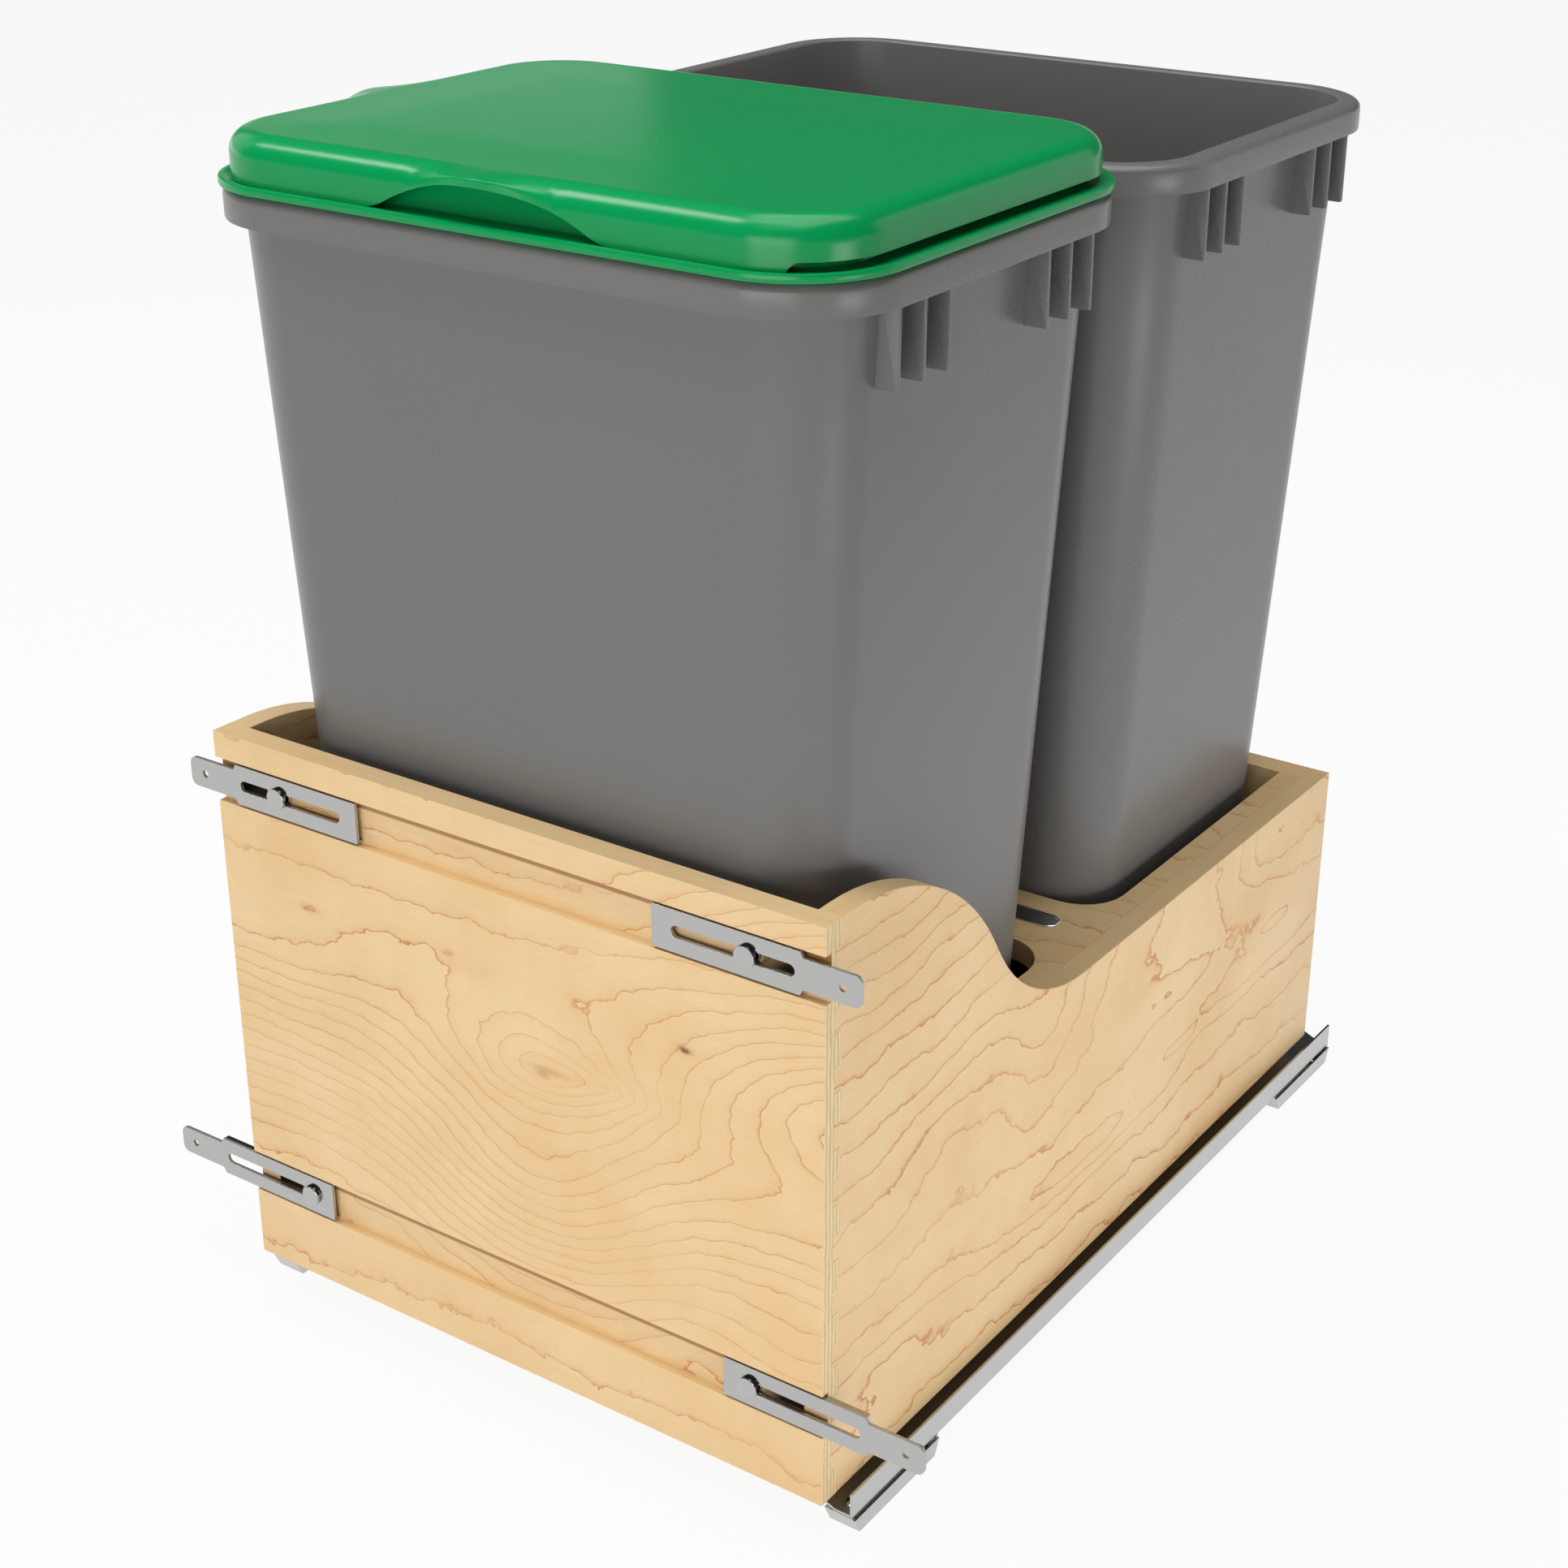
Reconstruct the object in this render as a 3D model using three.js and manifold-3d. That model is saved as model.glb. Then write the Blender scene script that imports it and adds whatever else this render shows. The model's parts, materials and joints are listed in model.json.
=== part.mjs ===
// Pull-out waste cabinet: a plywood drawer box on telescoping bottom slides, two tall
// tapered bins that hang down through a deck, and a two-piece hinged lid on the front bin.
//
// Millimetres, +Z up. The drawer is drawn in its own frame: x = 0 on the centre line,
// y = 0 on the outer face of the front panel, z = 0 at the bottom edge of the side panels.
// The last lines move that frame so that the origin is at the bottom centre of the unit.

import * as THREE from 'three';
import { mergeVertices } from 'three/addons/utils/BufferGeometryUtils.js';
import Module from 'manifold-3d';

const wasm = await Module();
wasm.setup();

// ---------------------------------------------------------------- driving sizes

// Plywood box.
const boxWidth = 368.3;
const boxDepth = 540;
const frontHeight = 309.7;
const rearHeight = 180.8;
const wall = 12.7;
const backWall = 15.7;
const bottomThickness = 12;
const bottomRecess = 12.7;
const bottomLetIn = 6;
const bottomGrooveClearance = 0.1;

// S-curve of the side panels, from the high front to the low rear.
const shoulderFlat = 20;
const shoulderRadius = 147;
const sweepRadius = 103;
const sweepAngle = THREE.MathUtils.degToRad(57.5);

// Blind finger joint at the front corners.
const fingerPitch = 29.8;
const fingerHeight = 13.3;
const fingerLength = 5.3;
const firstFingerDrop = 12.9;

// Deck that holds the two bins apart.
const deckThickness = 12.7;
const deckStrip = 12.3;
const deckBinClearance = 1.5;
const deckCornerRadius = 26;
const deckSideClearance = 0.1;

// Grooves across the front panel, and the routed pockets in them.
const grooveHeight = 24;
const grooveDepth = 4.5;
const upperGrooveCentre = frontHeight - 26.2;
const lowerGrooveCentre = 51.7;
const pocketHeight = 9;
const pocketEdge = 13.3;
const leftPocketLand = 8.1;
const rightPocketLand = 2;

// Sliding door brackets and the knobs that clamp them.
const bracketLength = 112.8;
const bracketHeight = 21.6;
const bracketThickness = 2;
const bracketLipDepth = 4.2;
const bracketLipThickness = 1.2;
const bracketTipHeight = 15.8;
const bracketShoulder = 82.3;
const bracketShoulderRun = 1.6;
const bracketTipRadius = 4;
const bracketSlot = [10.8, 78];
const bracketSlotWidth = 6;
const bracketHole = 102.8;
const bracketHoleRadius = 2;
const upperBracketReach = 18.6;
const lowerBracketReach = 56;
const knobInset = 42;
const knobRadius = 5.6;
const knobHead = 2.2;
const knobEdge = 0.5;
const knobGap = 0.2;
const shankRadius = 2.5;
const shankLength = 9;
const nutFlangeRadius = 5.4;
const nutBarrelRadius = 3.3;
const nutClearance = 0.2;
const adjusterRadius = 2.2;

// Bins: two rims fill the box from front to back, and the bodies hang inside them.
const binWall = 2.4;
const binHeight = 554.8;
const binSeat = 0.3;
const rimStart = 5.8;
const rimGap = 10.7;
const rimRearOverhang = 5.2;
const rimSideReveal = 3.4;
const rimRadius = 52;
const rimLedge = [11.15, 9.7];
const bodyRadius = 40;
const binLongDraft = THREE.MathUtils.degToRad(2.92);
const binShortDraft = THREE.MathUtils.degToRad(1.77);
const binCornerTaper = 0.0118;
const binFootRadius = 8;
const rimDrop = 15;
const finDrop = 35.3;
const finThickness = 2;
const finPitch = 19.45;
const finsInGroup = 3;

// Lid frame and lid cover.
const lidSeat = 0.3;
const brimOverRim = [0.25, 0.8];
const brimRadius = 50;
const brimThickness = 4;
const brimBead = 3;
const brimGutter = 1.2;
const collarInset = 16;
const collarHeight = 14.5;
const lidWall = 2;
const skirtDepth = 12;
const coverInset = [6.5, 5.6];
const coverRadius = 44;
const coverTop = 21.6;
const coverRound = 11;
const coverCrown = 1.2;
const coverCrownInsets = [26, 66];
const coverLeastRadius = 8;
const scoopWidth = 124;
const scoopRise = 16.2;
const scoopLip = 6;
const lipDroop = 0.55;
const scoopLipHalf = 46;
const scoopDepth = 6;
const skirtStepInset = 12.5;
const skirtStepRun = 3;
const skirtStep = 5.5;
const lidHingeInset = 5.2;
const lidHingeHeight = 6.3;
const lidHingeFromEnd = 63;
const knuckleRadius = 2.4;
const knuckleLength = 14;
const hingeLugThickness = 3;
const lugPost = [4, 1.3];
const hingePinRadius = 1.2;
const hingeBoreRadius = 1.45;
const hingePlay = 0.4;

// Slides. Sections are drawn by their distance outboard of the side panel's outer face.
const sheet = 1.2;
const railSheet = 1.3;
const railFlangeOut = 8;
const railFlangeTop = 0.4;
const railFloor = -13.3;
const railShelf = -10.5;
const railFloorRun = 10;
const railRampRun = 6.5;
const railInner = -38.3;
const railInnerTop = -2;
const railFront = 14.3;
const railRear = boxDepth + 19.5;
const slideClearance = 0.3;
const rollerRadius = 2;
const rollerPlay = 0.05;
const rollerLength = 12;
const rollerCount = 7;
const cagePlate = 1;
const cageWidth = 14;
const memberSpan = [-17, -34];
const memberLip = 4;
const memberFront = 30;
const memberLength = boxDepth - 60;
const cageLength = memberLength * 0.41;
const runnerSpan = [-13.6, -37.4];
const runnerSkirt = 10.2;
const hookWidth = 10;
const hookRise = 12;
const hookPinRadius = 2.6;
const hookPinLength = 8;
const hookBoreRadius = 2.9;
const notchClearance = 0.9;
const drawerTravel = boxDepth - 40;

// Rail feet, their screws, the locking clips and the dampers.
const footHeight = 24;
const footSpan = [-8, 9.3];
const footLength = 78;
const footSlant = 5;
const footLipDrop = 1.7;
const screwHeadRadius = 3.4;
const screwHeadHeight = 2.2;
const screwRadius = 1.6;
const screwHoleRadius = 1.9;
const screwEdge = 8;
const screwTipLift = 0.3;
const clipSpan = [-38, -60];
const clipLength = 56;
const clipPlate = 2.5;
const clipLever = 8.4;
const damperWidth = 12;
const damperHeight = 11;
const damperRise = 1;
const damperStart = boxDepth - 210;
const damperLength = 140;
const damperRodLength = 30;
const damperRodRadius = 2;

// ---------------------------------------------------------------- materials

const finish = (color, roughness, metalness) =>
  new THREE.MeshStandardMaterial({ color, roughness, metalness });

const maple = finish(0xe6c690, 0.5, 0);
const galvanised = finish(0xaeaeac, 0.35, 0.9);
const chrome = finish(0xd8d8d8, 0.12, 1);
const greyPlastic = finish(0x7d7d7a, 0.42, 0);
const greenPlastic = finish(0x109452, 0.25, 0);
const blackPlastic = finish(0x26262a, 0.5, 0);

// ---------------------------------------------------------------- solid helpers

/** A closed three.js geometry as a manifold solid. */
function solid(geometry) {
  const bare = geometry.index ? geometry.clone() : geometry;
  bare.deleteAttribute('normal');
  bare.deleteAttribute('uv');
  const merged = mergeVertices(bare, 1e-4);
  const made = new wasm.Mesh({
    numProp: 3,
    vertProperties: new Float32Array(merged.attributes.position.array),
    triVerts: new Uint32Array(merged.index.array),
  });
  return new wasm.Manifold(made);
}

/** A manifold solid as a named three.js mesh. */
function piece(name, body, material) {
  const made = body.getMesh();
  const geometry = new THREE.BufferGeometry();
  geometry.setAttribute('position', new THREE.BufferAttribute(made.vertProperties, 3));
  geometry.setIndex(new THREE.BufferAttribute(made.triVerts, 1));
  geometry.computeVertexNormals();
  const mesh = new THREE.Mesh(geometry, material);
  mesh.name = name;
  return mesh;
}

const union = (bodies) => bodies.reduce((whole, body) => whole.add(body));
const cut = (body, tools) => tools.reduce((rest, tool) => rest.subtract(tool), body);

// Axis of a prism, and how its outline's (u, v) lie in space.
const prismFrames = {
  x: new THREE.Matrix4().makeBasis(
    new THREE.Vector3(0, 1, 0), new THREE.Vector3(0, 0, 1), new THREE.Vector3(1, 0, 0)),
  y: new THREE.Matrix4().makeBasis(
    new THREE.Vector3(1, 0, 0), new THREE.Vector3(0, 0, 1), new THREE.Vector3(0, -1, 0)),
  z: new THREE.Matrix4(),
};

/**
 * An outline pushed along an axis from one coordinate to another. The outline is a THREE.Shape
 * or a list of points: (y, z) for axis x, (x, z) for axis y and (x, y) for axis z.
 */
function prism(axis, outline, from, to, curveSegments = 8) {
  const shape = outline instanceof THREE.Shape
    ? outline
    : new THREE.Shape(outline.map(([u, v]) => new THREE.Vector2(u, v)));
  const geometry = new THREE.ExtrudeGeometry(shape, {
    depth: to - from, bevelEnabled: false, curveSegments,
  });
  geometry.applyMatrix4(prismFrames[axis]);
  const shift = { x: [from, 0, 0], y: [0, to, 0], z: [0, 0, from] }[axis];
  geometry.translate(...shift);
  return solid(geometry);
}

/** A box between two corners. */
const block = (x0, x1, y0, y1, z0, z1) =>
  prism('z', [[x0, y0], [x1, y0], [x1, y1], [x0, y1]], z0, z1);

/** A round bar along an axis, centred on (u, v) of that axis's outline plane. */
function bar(axis, centre, radius, from, to, sides = 16) {
  const ring = [];
  for (let i = 0; i < sides; i += 1) {
    const turn = (2 * Math.PI * (i + 0.5)) / sides;
    ring.push([centre[0] + radius * Math.cos(turn), centre[1] + radius * Math.sin(turn)]);
  }
  return prism(axis, ring, from, to);
}

/** Points of an arc, ends included. */
function arc(centre, radius, start, end, steps) {
  const points = [];
  for (let i = 0; i <= steps; i += 1) {
    const turn = start + ((end - start) * i) / steps;
    points.push([centre[0] + radius * Math.cos(turn), centre[1] + radius * Math.sin(turn)]);
  }
  return points;
}

/** The closed outline of a folded sheet: its centre line widened by half a thickness each way. */
function foldedSheet(path, thickness) {
  const normals = path.slice(1).map((p, i) => {
    const along = new THREE.Vector2(p[0] - path[i][0], p[1] - path[i][1]).normalize();
    return new THREE.Vector2(-along.y, along.x);
  });
  const side = (sign) => path.map((p, i) => {
    const before = normals[Math.max(i - 1, 0)];
    const after = normals[Math.min(i, normals.length - 1)];
    const mitre = before.clone().add(after).normalize();
    const reach = (sign * thickness) / 2 / mitre.dot(after);
    return [p[0] + mitre.x * reach, p[1] + mitre.y * reach];
  });
  return side(1).concat(side(-1).reverse());
}

// ---------------------------------------------------------------- lofted shells

/** A horizontal ring of points round a rectangle with rounded corners. */
function roundedRing(halfX, halfY, radius, z, cornerSteps) {
  const ring = [];
  [[1, -1, -0.5], [1, 1, 0], [-1, 1, 0.5], [-1, -1, 1]].forEach(([sx, sy, start]) => {
    const centre = [sx * (halfX - radius), sy * (halfY - radius)];
    arc(centre, radius, Math.PI * start, Math.PI * (start + 0.5), cornerSteps)
      .forEach(([x, y]) => ring.push([x, y, z]));
  });
  return ring;
}

/** Skin between rings of equal point counts, closed by flat caps or by joining last to first. */
function loft(rings, closed = false) {
  const count = rings[0].length;
  const positions = rings.flat();
  const index = [];
  const last = closed ? rings.length : rings.length - 1;
  for (let r = 0; r < last; r += 1) {
    const low = r * count;
    const high = ((r + 1) % rings.length) * count;
    for (let i = 0; i < count; i += 1) {
      const j = (i + 1) % count;
      index.push(low + i, low + j, high + j, low + i, high + j, high + i);
    }
  }
  if (!closed) {
    [[rings[0], 0, false], [rings[rings.length - 1], (rings.length - 1) * count, true]]
      .forEach(([ring, start, upward]) => {
        const middle = [0, 1, 2].map((k) => ring.reduce((sum, p) => sum + p[k], 0) / count);
        positions.push(middle);
        for (let i = 0; i < count; i += 1) {
          const j = (i + 1) % count;
          const edge = upward ? [start + i, start + j] : [start + j, start + i];
          index.push(positions.length - 1, ...edge);
        }
      });
  }
  const geometry = new THREE.BufferGeometry();
  geometry.setAttribute('position', new THREE.Float32BufferAttribute(positions.flat(), 3));
  geometry.setIndex(index);
  return solid(geometry);
}

// ---------------------------------------------------------------- shared places

const half = boxWidth / 2;
const innerHalf = half - wall;
const backFace = boxDepth - backWall;
const bottomTop = bottomRecess + bottomThickness;

// Places of the bins: heights, half sizes of the rim, and centres along the box.
const binFloor = bottomTop + binSeat;
const rimTop = binFloor + binHeight;
const rimBottom = rimTop - rimDrop;
const rimHalf = [half - rimSideReveal, (boxDepth + rimRearOverhang - rimStart - rimGap) / 4];
const binCentres = [rimStart + rimHalf[1], rimStart + 3 * rimHalf[1] + rimGap];

/** Half sizes and corner radius of a bin body's outside at a height. */
function binSection(z) {
  const drop = rimBottom - z;
  return [
    rimHalf[0] - rimLedge[0] - drop * Math.tan(binLongDraft),
    rimHalf[1] - rimLedge[1] - drop * Math.tan(binShortDraft),
    bodyRadius - drop * binCornerTaper,
  ];
}

// ---------------------------------------------------------------- plywood box

/** Heights [low, high] of the side panels' fingers, from the top down. */
function fingerSpans() {
  const spans = [];
  for (let top = frontHeight - firstFingerDrop; top - fingerHeight > 0; top -= fingerPitch) {
    spans.push([top - fingerHeight, top]);
  }
  return spans;
}

/** Outline of a side panel in (y, z), from the front finger line to the rear. */
function sidePanelOutline() {
  const crest = [shoulderFlat, frontHeight - shoulderRadius];
  const crestEnd = [
    crest[0] + shoulderRadius * Math.sin(sweepAngle),
    crest[1] + shoulderRadius * Math.cos(sweepAngle),
  ];
  const sweepStartHeight = rearHeight + sweepRadius * (1 - Math.cos(sweepAngle));
  const slope = (crestEnd[1] - sweepStartHeight) / Math.tan(sweepAngle);
  const sweep = [crestEnd[0] + slope + sweepRadius * Math.sin(sweepAngle), rearHeight + sweepRadius];
  return [
    [wall, 0],
    [boxDepth, 0],
    [boxDepth, rearHeight],
    ...arc(sweep, sweepRadius, -Math.PI / 2, -Math.PI / 2 - sweepAngle, 10),
    ...arc(crest, shoulderRadius, Math.PI / 2 - sweepAngle, Math.PI / 2, 14),
    [wall, frontHeight],
  ];
}

function sidePanel(sign) {
  const [inside, outside] = sign > 0 ? [innerHalf, half] : [-half, -innerHalf];
  const board = prism('x', sidePanelOutline(), inside, outside);
  const fingers = fingerSpans().map(([low, high]) =>
    block(inside, outside, wall - fingerLength, wall + 1, low, high));
  const letIn = sign > 0 ? [innerHalf - 1, innerHalf + bottomLetIn] : [-innerHalf - bottomLetIn, 1 - innerHalf];
  const groove = block(...letIn, 0, boxDepth + 1,
    bottomRecess - bottomGrooveClearance, bottomTop + bottomGrooveClearance);
  return union([board, ...fingers]).subtract(groove);
}

/** The four bracket stations: side sign, groove height and reach past the side panel. */
const bracketStations = [
  { place: 'upper_left', sign: -1, height: upperGrooveCentre, reach: upperBracketReach },
  { place: 'upper_right', sign: 1, height: upperGrooveCentre, reach: upperBracketReach },
  { place: 'lower_left', sign: -1, height: lowerGrooveCentre, reach: lowerBracketReach },
  { place: 'lower_right', sign: 1, height: lowerGrooveCentre, reach: lowerBracketReach },
];
const knobX = (sign) => sign * (half - knobInset);

/** x range of the routed pocket between a knob's bore and the side of the box. */
function pocketSpan(sign) {
  const land = sign > 0 ? rightPocketLand : leftPocketLand;
  const inner = knobInset - nutBarrelRadius - nutClearance - land;
  return sign > 0 ? [half - inner, half - pocketEdge] : [pocketEdge - half, inner - half];
}

function frontPanel() {
  const board = block(-half, half, 0, wall, 0, frontHeight);
  const grooves = [upperGrooveCentre, lowerGrooveCentre].map((height) =>
    block(-half - 1, half + 1, -1, grooveDepth, height - grooveHeight / 2, height + grooveHeight / 2));
  const sockets = fingerSpans().flatMap(([low, high]) => [
    block(-half - 1, -innerHalf, wall - fingerLength, wall + 1, low, high),
    block(innerHalf, half + 1, wall - fingerLength, wall + 1, low, high),
  ]);
  const stations = bracketStations.flatMap(({ sign, height }) => [
    block(...pocketSpan(sign), 0, wall + 1, height - pocketHeight / 2, height + pocketHeight / 2),
    bar('y', [knobX(sign), height], nutBarrelRadius + nutClearance, 0, wall + 1),
  ]);
  const bottomGroove = block(-innerHalf, innerHalf, wall - bottomLetIn, wall + 1,
    bottomRecess - bottomGrooveClearance, bottomTop + bottomGrooveClearance);
  return cut(board, [...grooves, ...sockets, ...stations, bottomGroove]);
}

/** The back stands between the sides and is notched over both slides. */
function backPanel() {
  const board = block(-innerHalf, innerHalf, backFace, boxDepth, 0, rearHeight);
  const notches = [-1, 1].map((sign) => {
    const ends = [half - wall, half + runnerSpan[1] - notchClearance].map((x) => sign * x);
    return block(Math.min(...ends) - (sign < 0 ? 1 : 0), Math.max(...ends) + (sign > 0 ? 1 : 0),
      backFace - 1, boxDepth + 1, -1, bottomRecess);
  });
  const hookBores = [-1, 1].map((sign) =>
    bar('y', [sign * hookX, hookHeight], hookBoreRadius, boxDepth - hookPinLength - 1, boxDepth + 1));
  return cut(board, [...notches, ...hookBores]);
}

/** The deck is one board with a bin cut-out open to the front and one open to the back. */
function deckPanel() {
  const edge = innerHalf - deckSideClearance;
  const inner = edge - deckStrip;
  const radius = deckCornerRadius;
  const reach = binSection(rearHeight)[1] + deckBinClearance;
  const bridgeFront = binCentres[0] + reach;
  const bridgeRear = binCentres[1] - reach;
  const frontCut = [
    [inner, wall],
    ...arc([inner - radius, bridgeFront - radius], radius, 0, Math.PI / 2, 6),
    ...arc([radius - inner, bridgeFront - radius], radius, Math.PI / 2, Math.PI, 6),
    [-inner, wall],
  ];
  const rearCut = [
    [-inner, backFace],
    ...arc([radius - inner, bridgeRear + radius], radius, Math.PI, 1.5 * Math.PI, 6),
    ...arc([inner - radius, bridgeRear + radius], radius, 1.5 * Math.PI, 2 * Math.PI, 6),
    [inner, backFace],
  ];
  const outline = [
    [-edge, wall], [-edge, backFace], ...rearCut, [edge, backFace], [edge, wall], ...frontCut,
  ];
  return prism('z', outline, rearHeight - deckThickness, rearHeight);
}

function bottomPanel() {
  const play = bottomGrooveClearance;
  return block(-innerHalf - bottomLetIn + play, innerHalf + bottomLetIn - play,
    wall, backFace, bottomRecess, bottomTop).add(
    block(-innerHalf + play, innerHalf - play, wall - bottomLetIn + play, wall + 1, bottomRecess, bottomTop));
}

// ---------------------------------------------------------------- door brackets

/** Face outline of a bracket in (x, z): square inner end, slot, shoulders and rounded tip. */
function bracketShape(sign, height, innerEnd) {
  const at = (along) => innerEnd + sign * along;
  const halfFull = bracketHeight / 2;
  const halfTip = bracketTipHeight / 2;
  const radius = bracketTipRadius;
  const tip = bracketLength;
  const upper = [
    [0, halfFull], [bracketShoulder - bracketShoulderRun, halfFull], [bracketShoulder, halfTip],
    ...arc([tip - radius, halfTip - radius], radius, Math.PI / 2, 0, 5),
  ];
  const lower = upper.map(([u, v]) => [u, -v]).reverse();
  const shape = new THREE.Shape(upper.concat(lower).map(([u, v]) => new THREE.Vector2(at(u), height + v)));
  const slotRadius = bracketSlotWidth / 2;
  const slot = [
    ...arc([bracketSlot[1] - slotRadius, 0], slotRadius, -Math.PI / 2, Math.PI / 2, 8),
    ...arc([bracketSlot[0] + slotRadius, 0], slotRadius, Math.PI / 2, 1.5 * Math.PI, 8),
  ];
  const hole = arc([bracketHole, 0], bracketHoleRadius, 0, (2 * Math.PI * 11) / 12, 11);
  [slot, hole].forEach((ring) => {
    shape.holes.push(new THREE.Path(ring.map(([u, v]) => new THREE.Vector2(at(u), height + v))));
  });
  return shape;
}

/** Sliding bracket: a slotted plate whose wide part has its long edges folded back as lips. */
function doorBracket({ sign, height, reach }) {
  const innerEnd = sign * (half + reach - bracketLength);
  const lipEnd = innerEnd + sign * (bracketShoulder - bracketShoulderRun);
  const lips = [-1, 1].map((side) => {
    const edge = height + (side * bracketHeight) / 2;
    const inside = edge - side * bracketLipThickness;
    return block(Math.min(innerEnd, lipEnd), Math.max(innerEnd, lipEnd),
      bracketThickness / 2, bracketLipDepth, Math.min(edge, inside), Math.max(edge, inside));
  });
  const plate = prism('y', bracketShape(sign, height, innerEnd), 0, bracketThickness);
  return union([plate, ...lips]);
}

/** Round clamp screw: a low disc with an eased edge on a shank that passes the slot. */
function bracketKnob({ sign, height }) {
  const centre = [knobX(sign), height];
  const disc = bar('y', centre, knobRadius, knobEdge - knobHead, -knobGap, 24);
  const face = bar('y', centre, knobRadius - knobEdge, -knobHead, -knobGap, 24);
  const shank = bar('y', centre, shankRadius, knobEdge - knobHead, shankLength);
  return union([disc, face, shank]);
}

/** Flanged barrel nut: the flange fills the groove behind the bracket. */
function bracketNut({ sign, height }) {
  const centre = [knobX(sign), height];
  const seat = bracketThickness + slideClearance;
  const flange = bar('y', centre, nutFlangeRadius, seat, grooveDepth, 20);
  const barrel = bar('y', centre, nutBarrelRadius, seat, wall - slideClearance);
  const bore = bar('y', centre, shankRadius + nutClearance, 0, shankLength + slideClearance);
  return flange.add(barrel).subtract(bore);
}

/** Adjuster screw lying across the routed pocket. */
function adjusterScrew({ sign, height }) {
  const [from, to] = pocketSpan(sign);
  const middle = (grooveDepth + wall) / 2;
  return bar('x', [middle, height], adjusterRadius, from + slideClearance, to - slideClearance);
}


// ---------------------------------------------------------------- bins

/** One moulded bin: tapered shell, rolled rim with a hanging skirt, and fins on the short sides. */
function bin() {
  const steps = 8;
  const bodyRing = (z, inset, height = z) => {
    const [x, y, radius] = binSection(height);
    return roundedRing(x - inset, y - inset, radius - inset, z, steps);
  };
  const rimRing = (z, inset) =>
    roundedRing(rimHalf[0] - inset, rimHalf[1] - inset, rimRadius - inset, z, steps);
  const foot = [0, 30, 60, 90].map((degrees) => {
    const turn = THREE.MathUtils.degToRad(degrees);
    return [binFootRadius * (1 - Math.sin(turn)), binFootRadius * (1 - Math.cos(turn))];
  });
  const plateUnderside = rimTop - binWall;
  const rings = [
    ...foot.map(([inset, rise]) => bodyRing(binFloor + rise, inset)),
    bodyRing(plateUnderside, 0),
    rimRing(plateUnderside, binWall),
    rimRing(rimBottom, binWall),
    rimRing(rimBottom, 0),
    rimRing(rimTop - 4.2, 0),
    rimRing(rimTop - 1.6, 1.4),
    rimRing(rimTop, 5.4),
    bodyRing(rimTop, binWall - 0.8),
    bodyRing(rimTop - 1.2, binWall),
    ...foot.slice().reverse().map(([inset, rise]) => bodyRing(binFloor + binWall + rise, binWall + inset)),
  ];
  return union([loft(rings), ...binFins()]);
}

/** Thin upright fins that brace the rim's skirt on both short sides. */
function binFins() {
  const low = rimBottom - finDrop;
  const high = rimTop - binWall * 0.8;
  const outer = rimHalf[0] - binWall * 0.6;
  const inner = (z) => binSection(z)[0] - binWall / 2;
  const outline = [[inner(low), low], [outer, low], [outer, high], [inner(high), high]];
  const mirrored = outline.map(([x, z]) => [-x, z]);
  const offsets = Array.from({ length: finsInGroup }, (_, i) => rimHalf[1] - rimRadius - finPitch * i);
  return offsets.flatMap((offset) => [-offset, offset]).flatMap((y) => [outline, mirrored].map((shape) =>
    prism('y', shape, y - finThickness / 2, y + finThickness / 2)));
}

// ---------------------------------------------------------------- lid

const brimHalf = [rimHalf[0] + brimOverRim[0], rimHalf[1] + brimOverRim[1]];
const coverHalf = brimHalf.map((size, i) => size - coverInset[i]);
const brimBottom = rimTop + lidSeat;
const brimTop = brimBottom + brimThickness;
const gutter = brimTop - brimGutter;
const coverBottom = gutter + lidSeat;
const coverPeak = brimTop + coverTop;
const hingeX = coverHalf[0] - lidHingeInset;
const hingeZ = brimTop + lidHingeHeight;

/** Frame section as [inset from the brim's edge, height], taken once round the bin's mouth. */
function lidFrameSection() {
  const collarTop = brimTop + collarHeight - lidWall;
  const skirtBottom = brimBottom - skirtDepth;
  const inner = collarInset + lidWall + 0.5;
  return [
    [0, brimBottom],
    [0, brimTop],
    [brimBead, brimTop],
    [brimBead + lidWall, gutter],
    [collarInset, gutter],
    [collarInset + 0.5, collarTop],
    [inner, collarTop],
    [inner, skirtBottom],
    [inner - lidWall, skirtBottom],
    [inner - lidWall, brimBottom],
  ];
}

/** Where the knuckles and their lugs lie along the hinge line. */
const knuckleCentres = [lidHingeFromEnd - brimHalf[1], brimHalf[1] - lidHingeFromEnd];
const knuckleSpans = knuckleCentres.map((y) => [y - knuckleLength / 2, y + knuckleLength / 2]);

function lidFrame() {
  const rings = lidFrameSection().map(([inset, z]) =>
    roundedRing(brimHalf[0] - inset, brimHalf[1] - inset, brimRadius - inset, z, 8));
  const ring = loft(rings, true);
  // The open cover's wall hangs below the hinge line, so each lug stands on its inner side only.
  const postTop = Math.sqrt(knuckleRadius ** 2 - lugPost[1] ** 2);
  const postTurn = Math.atan2(-postTop, -lugPost[1]);
  const lugShape = [
    [hingeX - lugPost[0], gutter - 1],
    [hingeX - lugPost[1], gutter - 1],
    ...arc([hingeX, hingeZ], knuckleRadius, postTurn, Math.PI, 12),
    [hingeX - lugPost[0], hingeZ - knuckleRadius],
  ];
  const lugs = knuckleSpans.flatMap(([from, to]) => [
    prism('y', lugShape, from - hingePlay - hingeLugThickness, from - hingePlay),
    prism('y', lugShape, to + hingePlay, to + hingePlay + hingeLugThickness),
  ]);
  const reach = knuckleLength / 2 + hingePlay + hingeLugThickness + 1;
  const bores = knuckleCentres.map((y) =>
    bar('y', [hingeX, hingeZ], hingeBoreRadius, y - reach, y + reach, 12));
  return cut(union([ring, ...lugs]), bores);
}

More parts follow.
